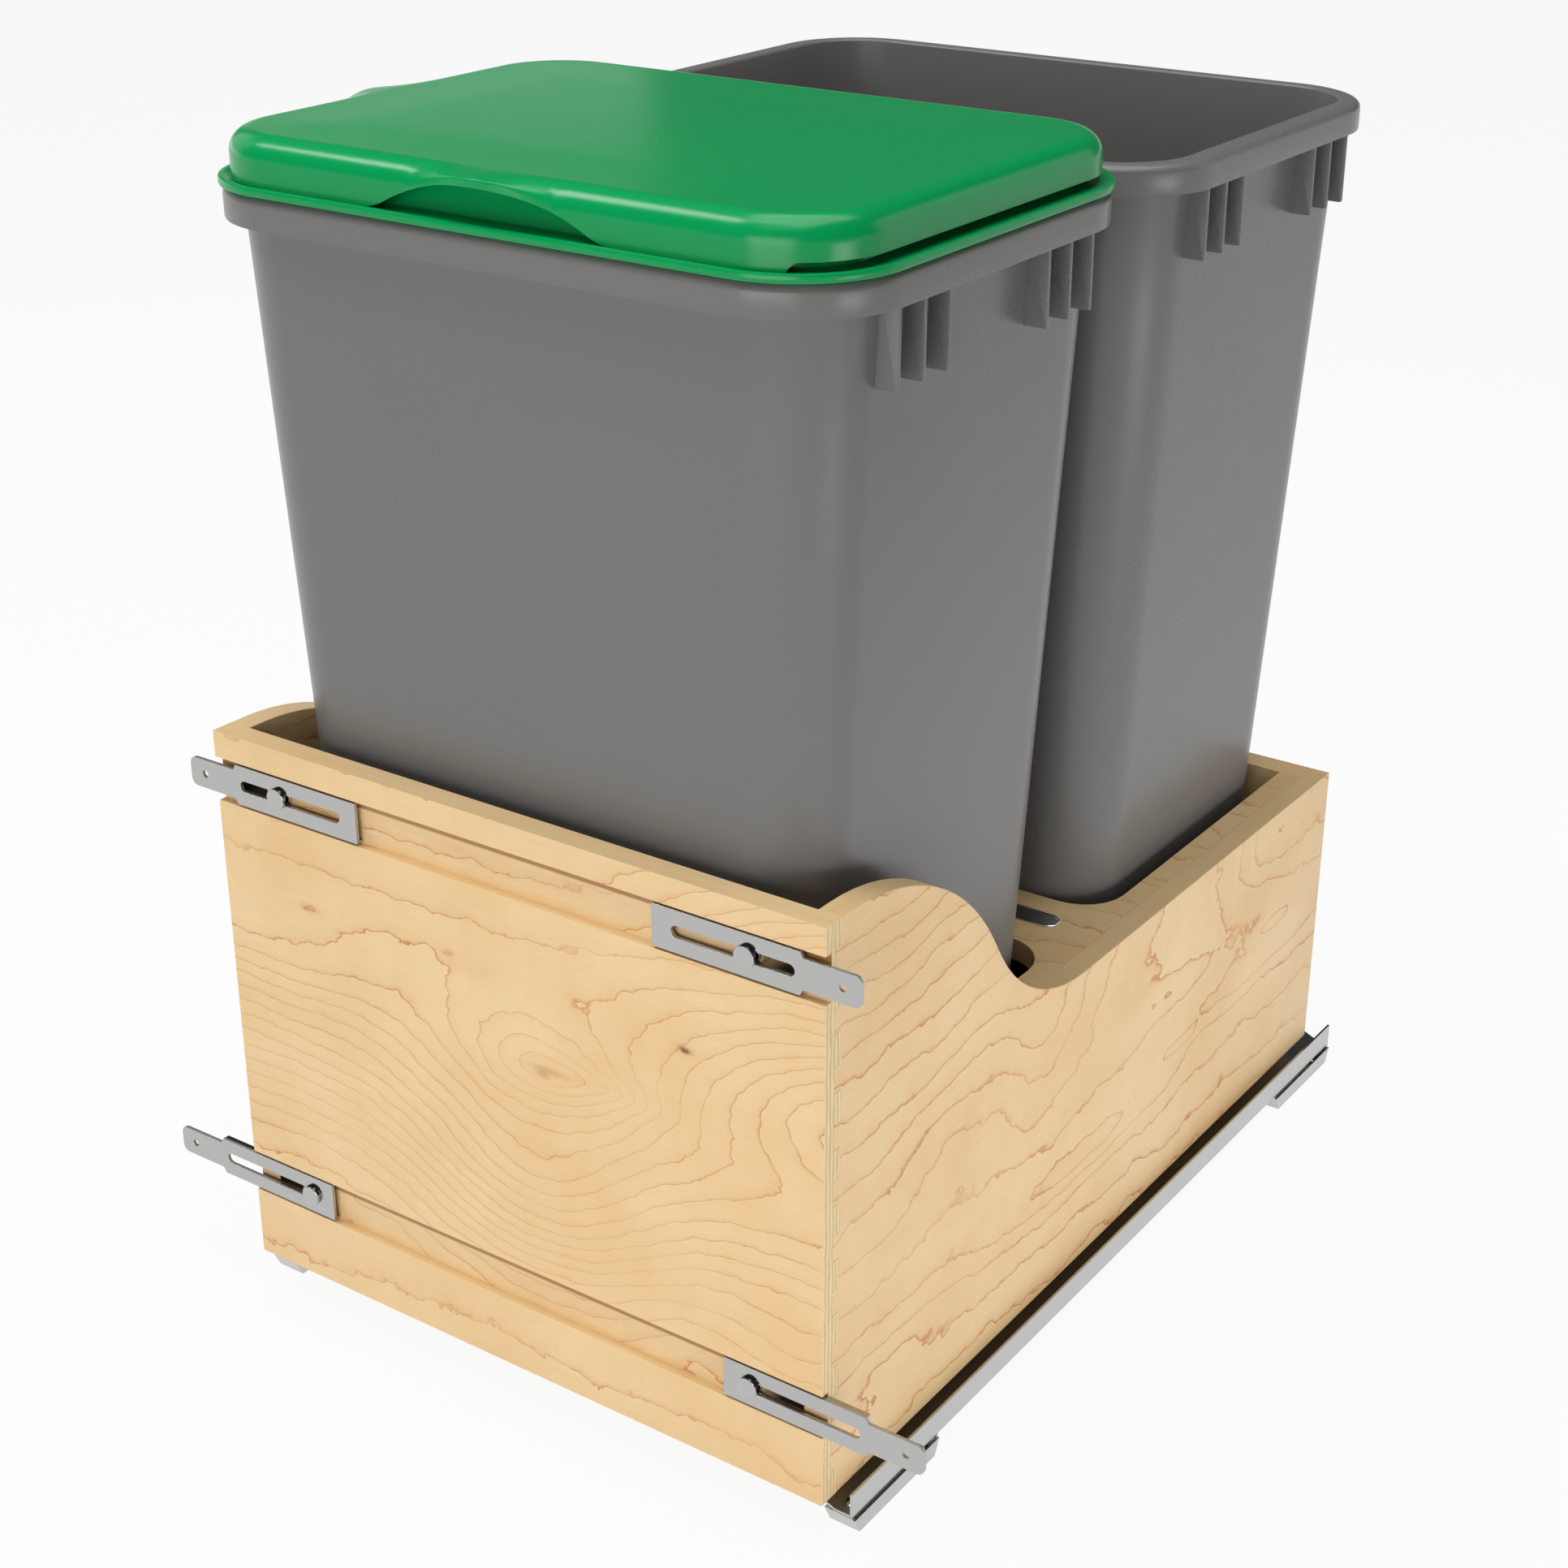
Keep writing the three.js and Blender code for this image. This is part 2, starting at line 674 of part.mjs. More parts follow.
/** Share of a scoop lip's reach at a distance along the wall: one at the middle, none at the ends. */
function lipShare(along) {
  return Math.abs(along) < scoopLipHalf ? Math.cos((Math.PI * along) / (2 * scoopLipHalf)) ** 2 : 0;
}

/** A ring of the cover, pushed out by a reach at the middle of the front and of the left wall. */
function coverRing(inset, z, reach) {
  const [halfX, halfY] = coverHalf.map((size) => size - inset);
  const radius = Math.max(coverRadius - inset, coverLeastRadius);
  const lipSteps = 12;
  const corner = (sx, sy, start) =>
    arc([sx * (halfX - radius), sy * (halfY - radius)], radius, Math.PI * start, Math.PI * (start + 0.5), 6);
  const lip = Array.from({ length: lipSteps + 1 }, (_, i) => scoopLipHalf * ((2 * i) / lipSteps - 1));
  return [
    ...corner(1, -1, -0.5),
    ...corner(1, 1, 0),
    ...corner(-1, 1, 0.5),
    ...lip.map((along) => [-halfX - reach * lipShare(along), -along]),
    ...corner(-1, -1, 1),
    ...lip.map((along) => [along, -halfY - reach * lipShare(along)]),
  ].map(([x, y]) => [x, y, z]);
}

/**
 * Rings of the cover's skin at an inset: straight wall, rounded shoulder, slightly crowned top.
 * At the lips the shoulder is carried outward into a visor that droops by lipDroop of a turn.
 */
function coverSkin(inset) {
  const base = coverPeak - coverCrown - inset - coverRound;
  const shoulder = [0, 22.5, 45, 67.5, 90].map((degrees) => {
    const turn = THREE.MathUtils.degToRad(degrees);
    const rounding = coverRound * (1 - Math.cos(turn));
    const reach = (scoopLip + rounding) * Math.cos(turn * lipDroop);
    return coverRing(inset + rounding, base + coverRound * Math.sin(turn), reach);
  });
  const crown = coverCrownInsets.map((reach, i) =>
    coverRing(inset + reach, coverPeak - coverCrown * (1 - i) * 0.45 - inset, 0));
  return [coverRing(inset, coverBottom, scoopLip), ...shoulder, ...crown];
}

/** Arch of a finger scoop: a low circular arc, in (along the wall, height). */
function scoopOutline() {
  const halfWidth = scoopWidth / 2;
  const radius = (halfWidth ** 2 + scoopRise ** 2) / (2 * scoopRise);
  const centre = [0, brimTop + scoopRise - radius];
  const spread = Math.asin(halfWidth / radius);
  return [
    [halfWidth, brimTop - brimThickness * 2],
    ...arc(centre, radius, Math.PI / 2 - spread, Math.PI / 2 + spread, 16),
    [-halfWidth, brimTop - brimThickness * 2],
  ];
}

function lidCover() {
  const shell = loft([...coverSkin(lidWall).reverse(), ...coverSkin(0)]);
  const frontScoop = prism('y', scoopOutline(),
    -coverHalf[1] - scoopLip - 1, -coverHalf[1] + scoopDepth);
  const leftScoop = prism('x', scoopOutline(),
    -coverHalf[0] - scoopLip - 1, -coverHalf[0] + scoopDepth);
  const stepStart = coverHalf[0] - skirtStepInset;
  const far = 2 * coverHalf[0];
  const step = prism('y', [
    [stepStart, coverBottom - 1],
    [far, coverBottom - 1],
    [far, brimTop + skirtStep],
    [stepStart + skirtStepRun, brimTop + skirtStep],
    [stepStart, brimTop],
  ], -far, far);
  const knuckleShape = [
    ...arc([hingeX, hingeZ], knuckleRadius, Math.PI / 2, 2 * Math.PI, 12),
    [coverHalf[0] - lidWall / 2, brimTop + skirtStep],
    [coverHalf[0] - lidWall / 2, hingeZ + knuckleRadius],
  ];
  const knuckles = knuckleSpans.map(([from, to]) => prism('y', knuckleShape, from, to));
  const bores = knuckleSpans.map(([from, to]) =>
    bar('y', [hingeX, hingeZ], hingeBoreRadius, from - 1, to + 1, 12));
  return cut(union([cut(shell, [frontScoop, leftScoop, step]), ...knuckles]), bores);
}

function lidHingePin([from, to]) {
  const reach = hingePlay + hingeLugThickness;
  return bar('y', [hingeX, hingeZ], hingePinRadius, from - reach, to + reach, 12);
}

// ---------------------------------------------------------------- slides

/** Turns an outline from (outboard distance, z) into (x, z) on one side of the drawer. */
const onSide = (sign, outline) => outline.map(([out, z]) => [sign * (half + out), z]);

// Heights of the rolling stack, worked down from the bottom panel and up from the rail.
const runnerTop = bottomRecess - slideClearance;
const upperRollerZ = runnerTop - sheet - rollerPlay - rollerRadius;
const memberTop = upperRollerZ - rollerRadius - rollerPlay;
const railShelfTop = railShelf + railSheet;
const lowerRollerZ = railShelfTop + rollerPlay + rollerRadius;
const memberBottom = lowerRollerZ + rollerRadius + rollerPlay;
const hookX = half + (runnerSpan[0] + runnerSpan[1]) / 2;
const hookHeight = runnerTop + hookRise * 0.55;

function slideRail(sign) {
  const gauge = railSheet / 2;
  const path = [
    [railFlangeOut - gauge, railFlangeTop],
    [railFlangeOut - gauge, railFloor + gauge],
    [railFlangeOut - railFloorRun, railFloor + gauge],
    [railFlangeOut - railFloorRun - railRampRun, railShelf + gauge],
    [railInner + gauge, railShelf + gauge],
    [railInner + gauge, railInnerTop],
  ];
  const channel = prism('y', onSide(sign, foldedSheet(path, railSheet)), railFront, railRear);
  const holes = screwPlaces(sign).map(([x, y]) =>
    bar('z', [x, y], screwHoleRadius, railFloor - 1, railFloor + railSheet + 1, 12));
  return cut(channel, holes);
}

function middleMember(sign) {
  const gauge = sheet / 2;
  const [outer, inner] = memberSpan;
  const path = [
    [outer - memberLip, memberTop - gauge],
    [outer - gauge, memberTop - gauge],
    [outer - gauge, memberBottom + gauge],
    [inner + gauge, memberBottom + gauge],
    [inner + gauge, memberTop - gauge],
    [inner + memberLip, memberTop - gauge],
  ];
  return prism('y', onSide(sign, foldedSheet(path, sheet)), memberFront, memberFront + memberLength);
}

/** Drawer runner: an inverted channel whose tail turns up behind the back and hooks into it. */
function drawerRunner(sign) {
  const gauge = sheet / 2;
  const [outer, inner] = runnerSpan;
  const path = [
    [outer - gauge, runnerTop - runnerSkirt],
    [outer - gauge, runnerTop - gauge],
    [inner + gauge, runnerTop - gauge],
    [inner + gauge, runnerTop - runnerSkirt],
  ];
  const tail = boxDepth + slideClearance;
  const channel = prism('y', onSide(sign, foldedSheet(path, sheet)), wall + slideClearance, tail + sheet);
  const centre = sign * hookX;
  const tab = block(centre - hookWidth / 2, centre + hookWidth / 2, tail, tail + sheet,
    runnerTop - sheet, runnerTop + hookRise);
  const pin = bar('y', [centre, hookHeight], hookPinRadius, boxDepth - hookPinLength, tail + sheet / 2);
  return union([channel, tab, pin]);
}

/** Cage plate with its row of rollers, centred on a height. */
function rollerCage(sign, centreY, centreZ) {
  const middle = sign * (half + (memberSpan[0] + memberSpan[1]) / 2);
  const plate = block(middle - cageWidth / 2, middle + cageWidth / 2,
    centreY - cageLength / 2, centreY + cageLength / 2,
    centreZ - cagePlate / 2, centreZ + cagePlate / 2);
  const gap = cageLength / rollerCount;
  const rollers = Array.from({ length: rollerCount }, (_, i) => {
    const y = centreY - cageLength / 2 + gap * (i + 0.5);
    return bar('x', [y, centreZ], rollerRadius, middle - rollerLength / 2, middle + rollerLength / 2, 12);
  });
  return union([plate, ...rollers]);
}

// Each cage starts so that it stays between its two members at full extension.
const memberEndOut = memberFront + memberLength - drawerTravel / 2;
const lowerCageY = (railFront + memberEndOut) / 2 + drawerTravel / 4;
const runnerEndOut = boxDepth - drawerTravel;
const upperCageY = (memberFront - drawerTravel / 2 + runnerEndOut) / 2 + (3 * drawerTravel) / 4;

// ---------------------------------------------------------------- feet, screws, clips, dampers

const footStarts = { front: railFront, rear: railRear - footLength };
const screwOut = railFlangeOut - railSheet - screwHeadRadius - 0.6;

/** Centres (x, y) of the four screws through one rail. */
function screwPlaces(sign) {
  return Object.values(footStarts).flatMap((start) =>
    [start + screwEdge, start + footLength - screwEdge].map((y) => [sign * (half + screwOut), y]));
}

/** Foot: an open pressed tray with slanted ends, its outer wall cut lower to leave a shadow gap. */
function railFoot(sign, start) {
  const top = railFloor - slideClearance;
  const sideOutline = (inset, roof) => [
    [start + inset, roof],
    [start + footSlant + inset, inset - footHeight],
    [start + footLength - footSlant - inset, inset - footHeight],
    [start + footLength - inset, roof],
  ];
  const across = (inset) => {
    const ends = [half + footSpan[0] + inset, half + footSpan[1] - inset].map((x) => sign * x);
    return [Math.min(...ends), Math.max(...ends)];
  };
  const tray = prism('x', sideOutline(0, top), ...across(0));
  const hollow = prism('x', sideOutline(sheet, top + 1), ...across(sheet));
  const lipOuter = sign * (half + footSpan[1] + 1);
  const lipInner = sign * (half + footSpan[1] - sheet);
  const lip = block(Math.min(lipOuter, lipInner), Math.max(lipOuter, lipInner),
    start - 1, start + footLength + 1, top - footLipDrop + slideClearance, top + 1);
  const holes = screwPlaces(sign).map(([x, y]) =>
    bar('z', [x, y], screwHoleRadius, -footHeight - 1, sheet + 1 - footHeight, 12));
  return cut(tray, [hollow, lip, ...holes]);
}

function railScrew([x, y]) {
  const seat = railFloor + railSheet + 0.1;
  const head = bar('z', [x, y], screwHeadRadius, seat, seat + screwHeadHeight, 16);
  const tip = screwTipLift - footHeight;
  const shank = bar('z', [x, y], screwRadius, tip, seat + screwHeadHeight / 2, 12);
  return head.add(shank);
}

/** Locking clip under the front of the drawer: a plate on the bottom panel with a release lever. */
function lockingClip(sign) {
  const top = bottomRecess - slideClearance;
  const [outer, inner] = clipSpan;
  const section = [
    [outer, top], [inner, top], [inner, top - clipPlate], [outer - clipPlate, top - clipPlate],
    [outer - clipPlate, top - clipPlate - clipLever], [outer, top - clipPlate - clipLever],
  ];
  const start = wall + slideClearance;
  return prism('y', onSide(sign, section), start, start + clipLength);
}

/** Soft-close damper: an oval housing on the rail's inner wall with its rod at the front. */
function softCloseDamper(sign) {
  const face = railInner - slideClearance;
  const centreZ = railInnerTop + damperRise - damperHeight / 2;
  const radius = damperHeight / 2;
  const centre = face - damperWidth + radius;
  const section = [
    [face, centreZ + radius],
    ...arc([centre, centreZ], radius, Math.PI / 2, 1.5 * Math.PI, 8),
    [face, centreZ - radius],
  ];
  const housing = prism('y', onSide(sign, section), damperStart, damperStart + damperLength);
  const rod = bar('y', [sign * (half + centre), centreZ], damperRodRadius,
    damperStart - damperRodLength, damperStart + 1, 12);
  return housing.add(rod);
}

// ---------------------------------------------------------------- assembly

const drawerFrame = new THREE.Group();
const sides = [['left', -1], ['right', 1]];

function place(group, name, body, material) {
  group.add(piece(name, body, material));
}

place(drawerFrame, 'front_panel', frontPanel(), maple);
place(drawerFrame, 'back_panel', backPanel(), maple);
place(drawerFrame, 'deck_panel', deckPanel(), maple);
place(drawerFrame, 'bottom_panel', bottomPanel(), maple);

sides.forEach(([side, sign]) => {
  place(drawerFrame, `side_panel_${side}`, sidePanel(sign), maple);
  place(drawerFrame, `slide_rail_${side}`, slideRail(sign), galvanised);
  place(drawerFrame, `middle_member_${side}`, middleMember(sign), galvanised);
  place(drawerFrame, `drawer_runner_${side}`, drawerRunner(sign), galvanised);
  place(drawerFrame, `lower_cage_${side}`, rollerCage(sign, lowerCageY, lowerRollerZ), chrome);
  place(drawerFrame, `upper_cage_${side}`, rollerCage(sign, upperCageY, upperRollerZ), chrome);
  place(drawerFrame, `locking_clip_${side}`, lockingClip(sign), blackPlastic);
  place(drawerFrame, `damper_${side}`, softCloseDamper(sign), blackPlastic);
  Object.entries(footStarts).forEach(([end, start]) => {
    place(drawerFrame, `${end}_foot_${side}`, railFoot(sign, start), galvanised);
  });
  screwPlaces(sign).forEach((centre, i) => {
    place(drawerFrame, `rail_screw_${side}_${i + 1}`, railScrew(centre), chrome);
  });
});

bracketStations.forEach((station) => {
  place(drawerFrame, `door_bracket_${station.place}`, doorBracket(station), galvanised);
  place(drawerFrame, `bracket_knob_${station.place}`, bracketKnob(station), chrome);
  place(drawerFrame, `bracket_nut_${station.place}`, bracketNut(station), chrome);
  place(drawerFrame, `adjuster_screw_${station.place}`, adjusterScrew(station), chrome);
});

const frontBay = new THREE.Group();
frontBay.position.y = binCentres[0];
place(frontBay, 'front_bin', bin(), greyPlastic);
place(frontBay, 'lid_frame', lidFrame(), greenPlastic);
place(frontBay, 'lid_cover', lidCover(), greenPlastic);
knuckleSpans.forEach((span, i) => {
  place(frontBay, `lid_hinge_pin_${['front', 'rear'][i]}`, lidHingePin(span), chrome);
});

const rearBay = new THREE.Group();
rearBay.position.y = binCentres[1];
place(rearBay, 'rear_bin', bin(), greyPlastic);

drawerFrame.add(frontBay, rearBay);
drawerFrame.position.set(0, (knobHead - railRear) / 2, footHeight);

const cabinet = new THREE.Group();
cabinet.add(drawerFrame);

export default cabinet;
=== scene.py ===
"""Looks of the pull-out waste cabinet: maple plywood box, satin grey bins, glossy green lid
and plated steel fittings, on a pale studio floor. Metres throughout, in the part's own frame."""

import json
import math
from collections import namedtuple

import bmesh
import bpy
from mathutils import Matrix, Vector

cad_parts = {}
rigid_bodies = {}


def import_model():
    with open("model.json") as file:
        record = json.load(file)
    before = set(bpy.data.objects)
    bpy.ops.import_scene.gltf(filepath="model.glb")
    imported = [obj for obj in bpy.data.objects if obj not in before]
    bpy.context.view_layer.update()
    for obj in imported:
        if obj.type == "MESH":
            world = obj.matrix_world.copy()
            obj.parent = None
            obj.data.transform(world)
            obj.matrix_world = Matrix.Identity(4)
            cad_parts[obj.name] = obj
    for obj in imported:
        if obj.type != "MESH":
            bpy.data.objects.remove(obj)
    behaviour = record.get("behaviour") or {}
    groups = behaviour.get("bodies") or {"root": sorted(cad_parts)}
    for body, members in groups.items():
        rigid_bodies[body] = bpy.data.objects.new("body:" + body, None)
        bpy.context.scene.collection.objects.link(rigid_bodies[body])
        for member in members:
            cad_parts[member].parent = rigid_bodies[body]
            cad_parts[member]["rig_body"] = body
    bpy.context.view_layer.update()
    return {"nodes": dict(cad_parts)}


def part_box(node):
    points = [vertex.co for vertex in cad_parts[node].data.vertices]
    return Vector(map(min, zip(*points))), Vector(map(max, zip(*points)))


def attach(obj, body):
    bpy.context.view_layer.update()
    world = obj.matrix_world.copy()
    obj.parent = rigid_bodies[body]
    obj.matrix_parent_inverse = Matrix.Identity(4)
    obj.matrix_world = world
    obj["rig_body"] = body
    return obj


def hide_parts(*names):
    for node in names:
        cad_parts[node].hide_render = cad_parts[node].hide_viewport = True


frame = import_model()

MM = 0.001
AXES = {"x": 0, "y": 1, "z": 2}


# ---- shader helpers


class Value:
    """A number that a material's nodes work out; it adds and multiplies as numbers do."""

    def __init__(self, graph, socket):
        self.graph = graph
        self.socket = socket

    def __add__(self, other):
        return self.graph.math("ADD", self, other)

    def __sub__(self, other):
        return self.graph.math("SUBTRACT", self, other)

    def __mul__(self, other):
        return self.graph.math("MULTIPLY", self, other)

    def __abs__(self):
        return self.graph.math("ABSOLUTE", self)

    __radd__ = __add__
    __rmul__ = __mul__


class Graph:
    """Builds one material's node graph with short calls."""

    def __init__(self, name):
        self.material = bpy.data.materials.new(name)
        self.material.use_nodes = True
        self.tree = self.material.node_tree
        self.nodes = self.tree.nodes
        self.shader = self.nodes["Principled BSDF"]
        self.coords = self.nodes.new("ShaderNodeTexCoord")

    def link(self, value, socket):
        """Feeds a socket from a node's output, or sets it to a plain value."""
        if isinstance(value, Value):
            value = value.socket
        if isinstance(value, bpy.types.NodeSocket):
            self.tree.links.new(value, socket)
        else:
            socket.default_value = value

    def set(self, **inputs):
        """Feeds or sets the shader's own sockets, named with _ for each space."""
        for name, value in inputs.items():
            self.link(value, self.shader.inputs[name.replace("_", " ")])

    def math(self, operation, a, b=0.0, clamp=False):
        node = self.nodes.new("ShaderNodeMath")
        node.operation = operation
        node.use_clamp = clamp
        self.link(a, node.inputs[0])
        self.link(b, node.inputs[1])
        return Value(self, node.outputs[0])

    def decay(self, value, rate):
        """One where value is zero, falling off the faster the higher the rate."""
        return self.math("EXPONENT", value * -rate)

    def xyz(self, vector):
        node = self.nodes.new("ShaderNodeSeparateXYZ")
        self.link(vector, node.inputs[0])
        return [Value(self, socket) for socket in node.outputs]

    def vector(self, x, y, z):
        node = self.nodes.new("ShaderNodeCombineXYZ")
        for value, socket in zip((x, y, z), node.inputs):
            self.link(value, socket)
        return node.outputs[0]

    def scaled(self, axes, scales):
        """A vector of three values, each times its own scale."""
        return self.vector(*[value * scale for value, scale in zip(axes, scales)])

    def noise(self, vector, scale=1.0, detail=2.0, roughness=0.5):
        """Smooth noise about zero, from -0.5 to 0.5; scale is in waves per metre."""
        node = self.nodes.new("ShaderNodeTexNoise")
        self.link(vector, node.inputs["Vector"])
        node.inputs["Scale"].default_value = scale
        node.inputs["Detail"].default_value = detail
        node.inputs["Roughness"].default_value = roughness
        return Value(self, node.outputs["Fac"]) - 0.5

    def hump(self, u, v, centre, size, height):
        """A smooth hill of a height, with its centre and size in millimetres of u and v."""
        a = (u - centre[0] * MM) * (1 / (size[0] * MM))
        b = (v - centre[1] * MM) * (1 / (size[1] * MM))
        return self.decay(a * a + b * b, 1.0) * height

    def mix(self, share, a, b):
        node = self.nodes.new("ShaderNodeMix")
        node.data_type = "RGBA"
        self.link(share, node.inputs["Factor"])
        self.link(a, node.inputs["A"])
        self.link(b, node.inputs["B"])
        return node.outputs["Result"]

    def between(self, value, low, high):
        """One where value lies between low and high, in millimetres, else zero."""
        above = self.math("GREATER_THAN", value, low * MM)
        return above * self.math("LESS_THAN", value, high * MM)

    def ramp(self, value, low, high):
        """Rises smoothly from zero at low to one at high, held outside; low may be the larger."""
        node = self.nodes.new("ShaderNodeMapRange")
        node.interpolation_type = "SMOOTHSTEP"
        self.link(value, node.inputs["Value"])
        node.inputs["From Min"].default_value = low
        node.inputs["From Max"].default_value = high
        return Value(self, node.outputs["Result"])

    def facing(self, axis, low, high):
        """One where a face looks along an axis, either way, with the ramp's two limits."""
        normal = self.xyz(self.coords.outputs["Normal"])
        return self.ramp(abs(normal[AXES[axis]]), low, high)

    def bump(self, height, distance, strength):
        node = self.nodes.new("ShaderNodeBump")
        node.inputs["Distance"].default_value = distance
        node.inputs["Strength"].default_value = strength
        self.link(height, node.inputs["Height"])
        self.link(node.outputs["Normal"], self.shader.inputs["Normal"])


def srgb(red, green, blue, share=1.0):
    """A colour given as it looks on a screen, from 0 to 255, as a share of its linear light."""

    def linear(c):
        c /= 255
        return share * (c / 12.92 if c <= 0.04045 else ((c + 0.055) / 1.055) ** 2.4)

    return (linear(red), linear(green), linear(blue), 1.0)


# ---- maple plywood

# Screen colours of the face: pale and warm wood, and the line at the edge of a ring.
MAPLE_PALE = (244, 213, 162)
MAPLE_WARM = (231, 191, 131)
MAPLE_LINE = (202, 114, 30)
# Screen colours of plies seen on end, of painted shadow in a groove and of painted shade in a pocket.
PLY_PALE = (242, 214, 164)
PLY_DARK = (214, 188, 134)
PLY_GLUE = (150, 132, 88)
GROOVE_SHADOW_BROWN = (156, 100, 42)
POCKET_SHADE = (24, 20, 16)

PLY_THICKNESS = 1.42 * MM
# The depths of the grooves' floor and of the routed pockets, in millimetres.
GROOVE_FLOOR = (-276, -272)
POCKET_DEPTH = (-273.9, -266.2)
# The rolling surface whose contours are the rings, as noise: scale, detail, height in rings.
BROAD_WAVES = ((6.5, 1.0, 1.3), (34.0, 2.0, 0.9))
RIPPLE = (150.0, 2.0, 0.34)
FAINT_RINGS = 3.37  # faint lines for each ring
# How far a knot's outline wanders along and across the grain.
RAGGED_ALONG = 6 * MM
RAGGED_ACROSS = 3 * MM
HALO_SIZE = (1.8, 2.0)  # of the warm halo round a knot, in knot sizes along and across


class Board(Graph):
    """The graph of one maple board: u along and v across the grain of its face, w through it.
    rise is v before bands shift the figure between two heights."""

    def __init__(self, name, along, across, through, bands, seed, tone):
        super().__init__(name)
        position = self.xyz(self.coords.outputs["Object"])
        self.u = position[AXES[along]]
        self.rise = position[AXES[across]]
        self.w = position[AXES[through]]
        self.v = self.rise
        for low, high, shift in bands:
            self.v += self.between(self.rise, low, high) * (shift * MM)
        self.seed = seed
        self.place = self.grain(0.75, 1.0)
        self.pale = srgb(*MAPLE_PALE, tone)
        self.warm = srgb(*MAPLE_WARM, tone)
        self.line = srgb(*MAPLE_LINE, tone)

    def grain(self, along, across, offset=0.0):
        """A place on the face for noise, with its scale along and across the grain."""
        return self.vector(self.u * along, self.v * across, self.seed + offset)

    def figure(self, spacing, humps, waves, sharp):
        """The rings, from 0 to 1: contour lines of a rolling surface, each with a crisp edge
        that fades to one side, stronger in some patches, with faint lines between."""
        height = self.v * (1 / spacing)
        for scale, detail, rings in BROAD_WAVES:
            height += self.noise(self.place, scale, detail) * (rings * waves)
        scale, detail, rings = RIPPLE
        height += self.noise(self.place, scale, detail) * rings
        for hump in humps:
            height += self.hump(self.u, self.v, *hump)
        ring = self.math("FRACT", height)
        patch = self.ramp(self.noise(self.place, 11.0), -0.22, 0.14)
        fade = self.decay(ring, 7.0) * 0.26 * (patch * 0.75 + 0.25)
        edge = self.decay(ring * ring, sharp) * 0.6 * (patch * 0.6 + 0.4)
        faint = self.decay(self.math("FRACT", height * FAINT_RINGS), 10.0) * 0.05
        return fade + edge + faint

    def with_knots(self, face, knots):
        """Adds knots to a face: a dark pith in a warm halo, with ragged outlines."""
        u = self.u + self.noise(self.place, 260.0) * RAGGED_ALONG
        v = self.v + self.noise(self.place, 190.0) * RAGGED_ACROSS
        for centre, size, strength, colour in knots:
            halo_size = (size[0] * HALO_SIZE[0], size[1] * HALO_SIZE[1])
            halo = self.hump(u, v, centre, halo_size, 0.3 * strength)
            face = self.mix(halo, face, self.line)
            pith = self.hump(u, v, centre, size, 1.3 * strength)
            pith = self.math("MINIMUM", pith, 0.9 * strength)
            face = self.mix(pith, face, srgb(*colour))
        return face

    def with_painted_groove_shadow(self, face, groove_shadows):
        """Paints shadow on strips of the grooves' floor, under their upper edge: each from low, full at
        full, up to top.
        """
        for low, full, top in groove_shadows:
            strip = self.between(self.rise, low, top) * self.between(self.w, *GROOVE_FLOOR)
            shadow_share = self.ramp(self.rise, low * MM, full * MM) * strip
            face = self.mix(shadow_share * 0.85, face, srgb(*GROOVE_SHADOW_BROWN))
        return face

    def with_pocket_shade(self, colour, pockets):
        """Paints shade into routed pockets between two heights, on both sides: from near, full at
        far, out to reach."""
        out = abs(self.u)
        for low, high, near, far, reach in pockets:
            sunk = self.between(self.rise, low, high) * self.between(self.w, *POCKET_DEPTH)
            share = self.ramp(out, near * MM, far * MM) * self.math("LESS_THAN", out, reach * MM)
            colour = self.mix(sunk * share * 0.93, colour, srgb(*POCKET_SHADE))
        return colour

    def plies(self):
        """Plies seen on end: crossed layers, every second one end grain, with glue between."""
        axes = (self.u, self.v, self.w)
        grainy = self.noise(self.scaled(axes, (900.0, 900.0, 900.0)))
        sway = self.noise(self.scaled(axes, (60.0, 60.0, 260.0)))
        layer = self.w * (1 / PLY_THICKNESS) + grainy * 0.5 + sway * 2.2
        side = self.math("PINGPONG", layer, 1.0)
        share = self.ramp(side, 0.38, 0.62) + grainy * 0.5
        glue = self.decay(abs(side - 0.5), 22.0)
        wood = self.mix(share, srgb(*PLY_PALE), srgb(*PLY_DARK))
        return self.mix(glue * 0.16, wood, srgb(*PLY_GLUE))

    def banding(self, cloud):
        """Solid wood glued along an edge: straight streaks."""
        streak = self.noise(self.scaled((self.u, self.v, self.w), (14.0, 14.0, 480.0)), detail=3.0)
        return self.mix(0.35 + streak * 1.1 + cloud * 0.8, self.pale, self.warm)


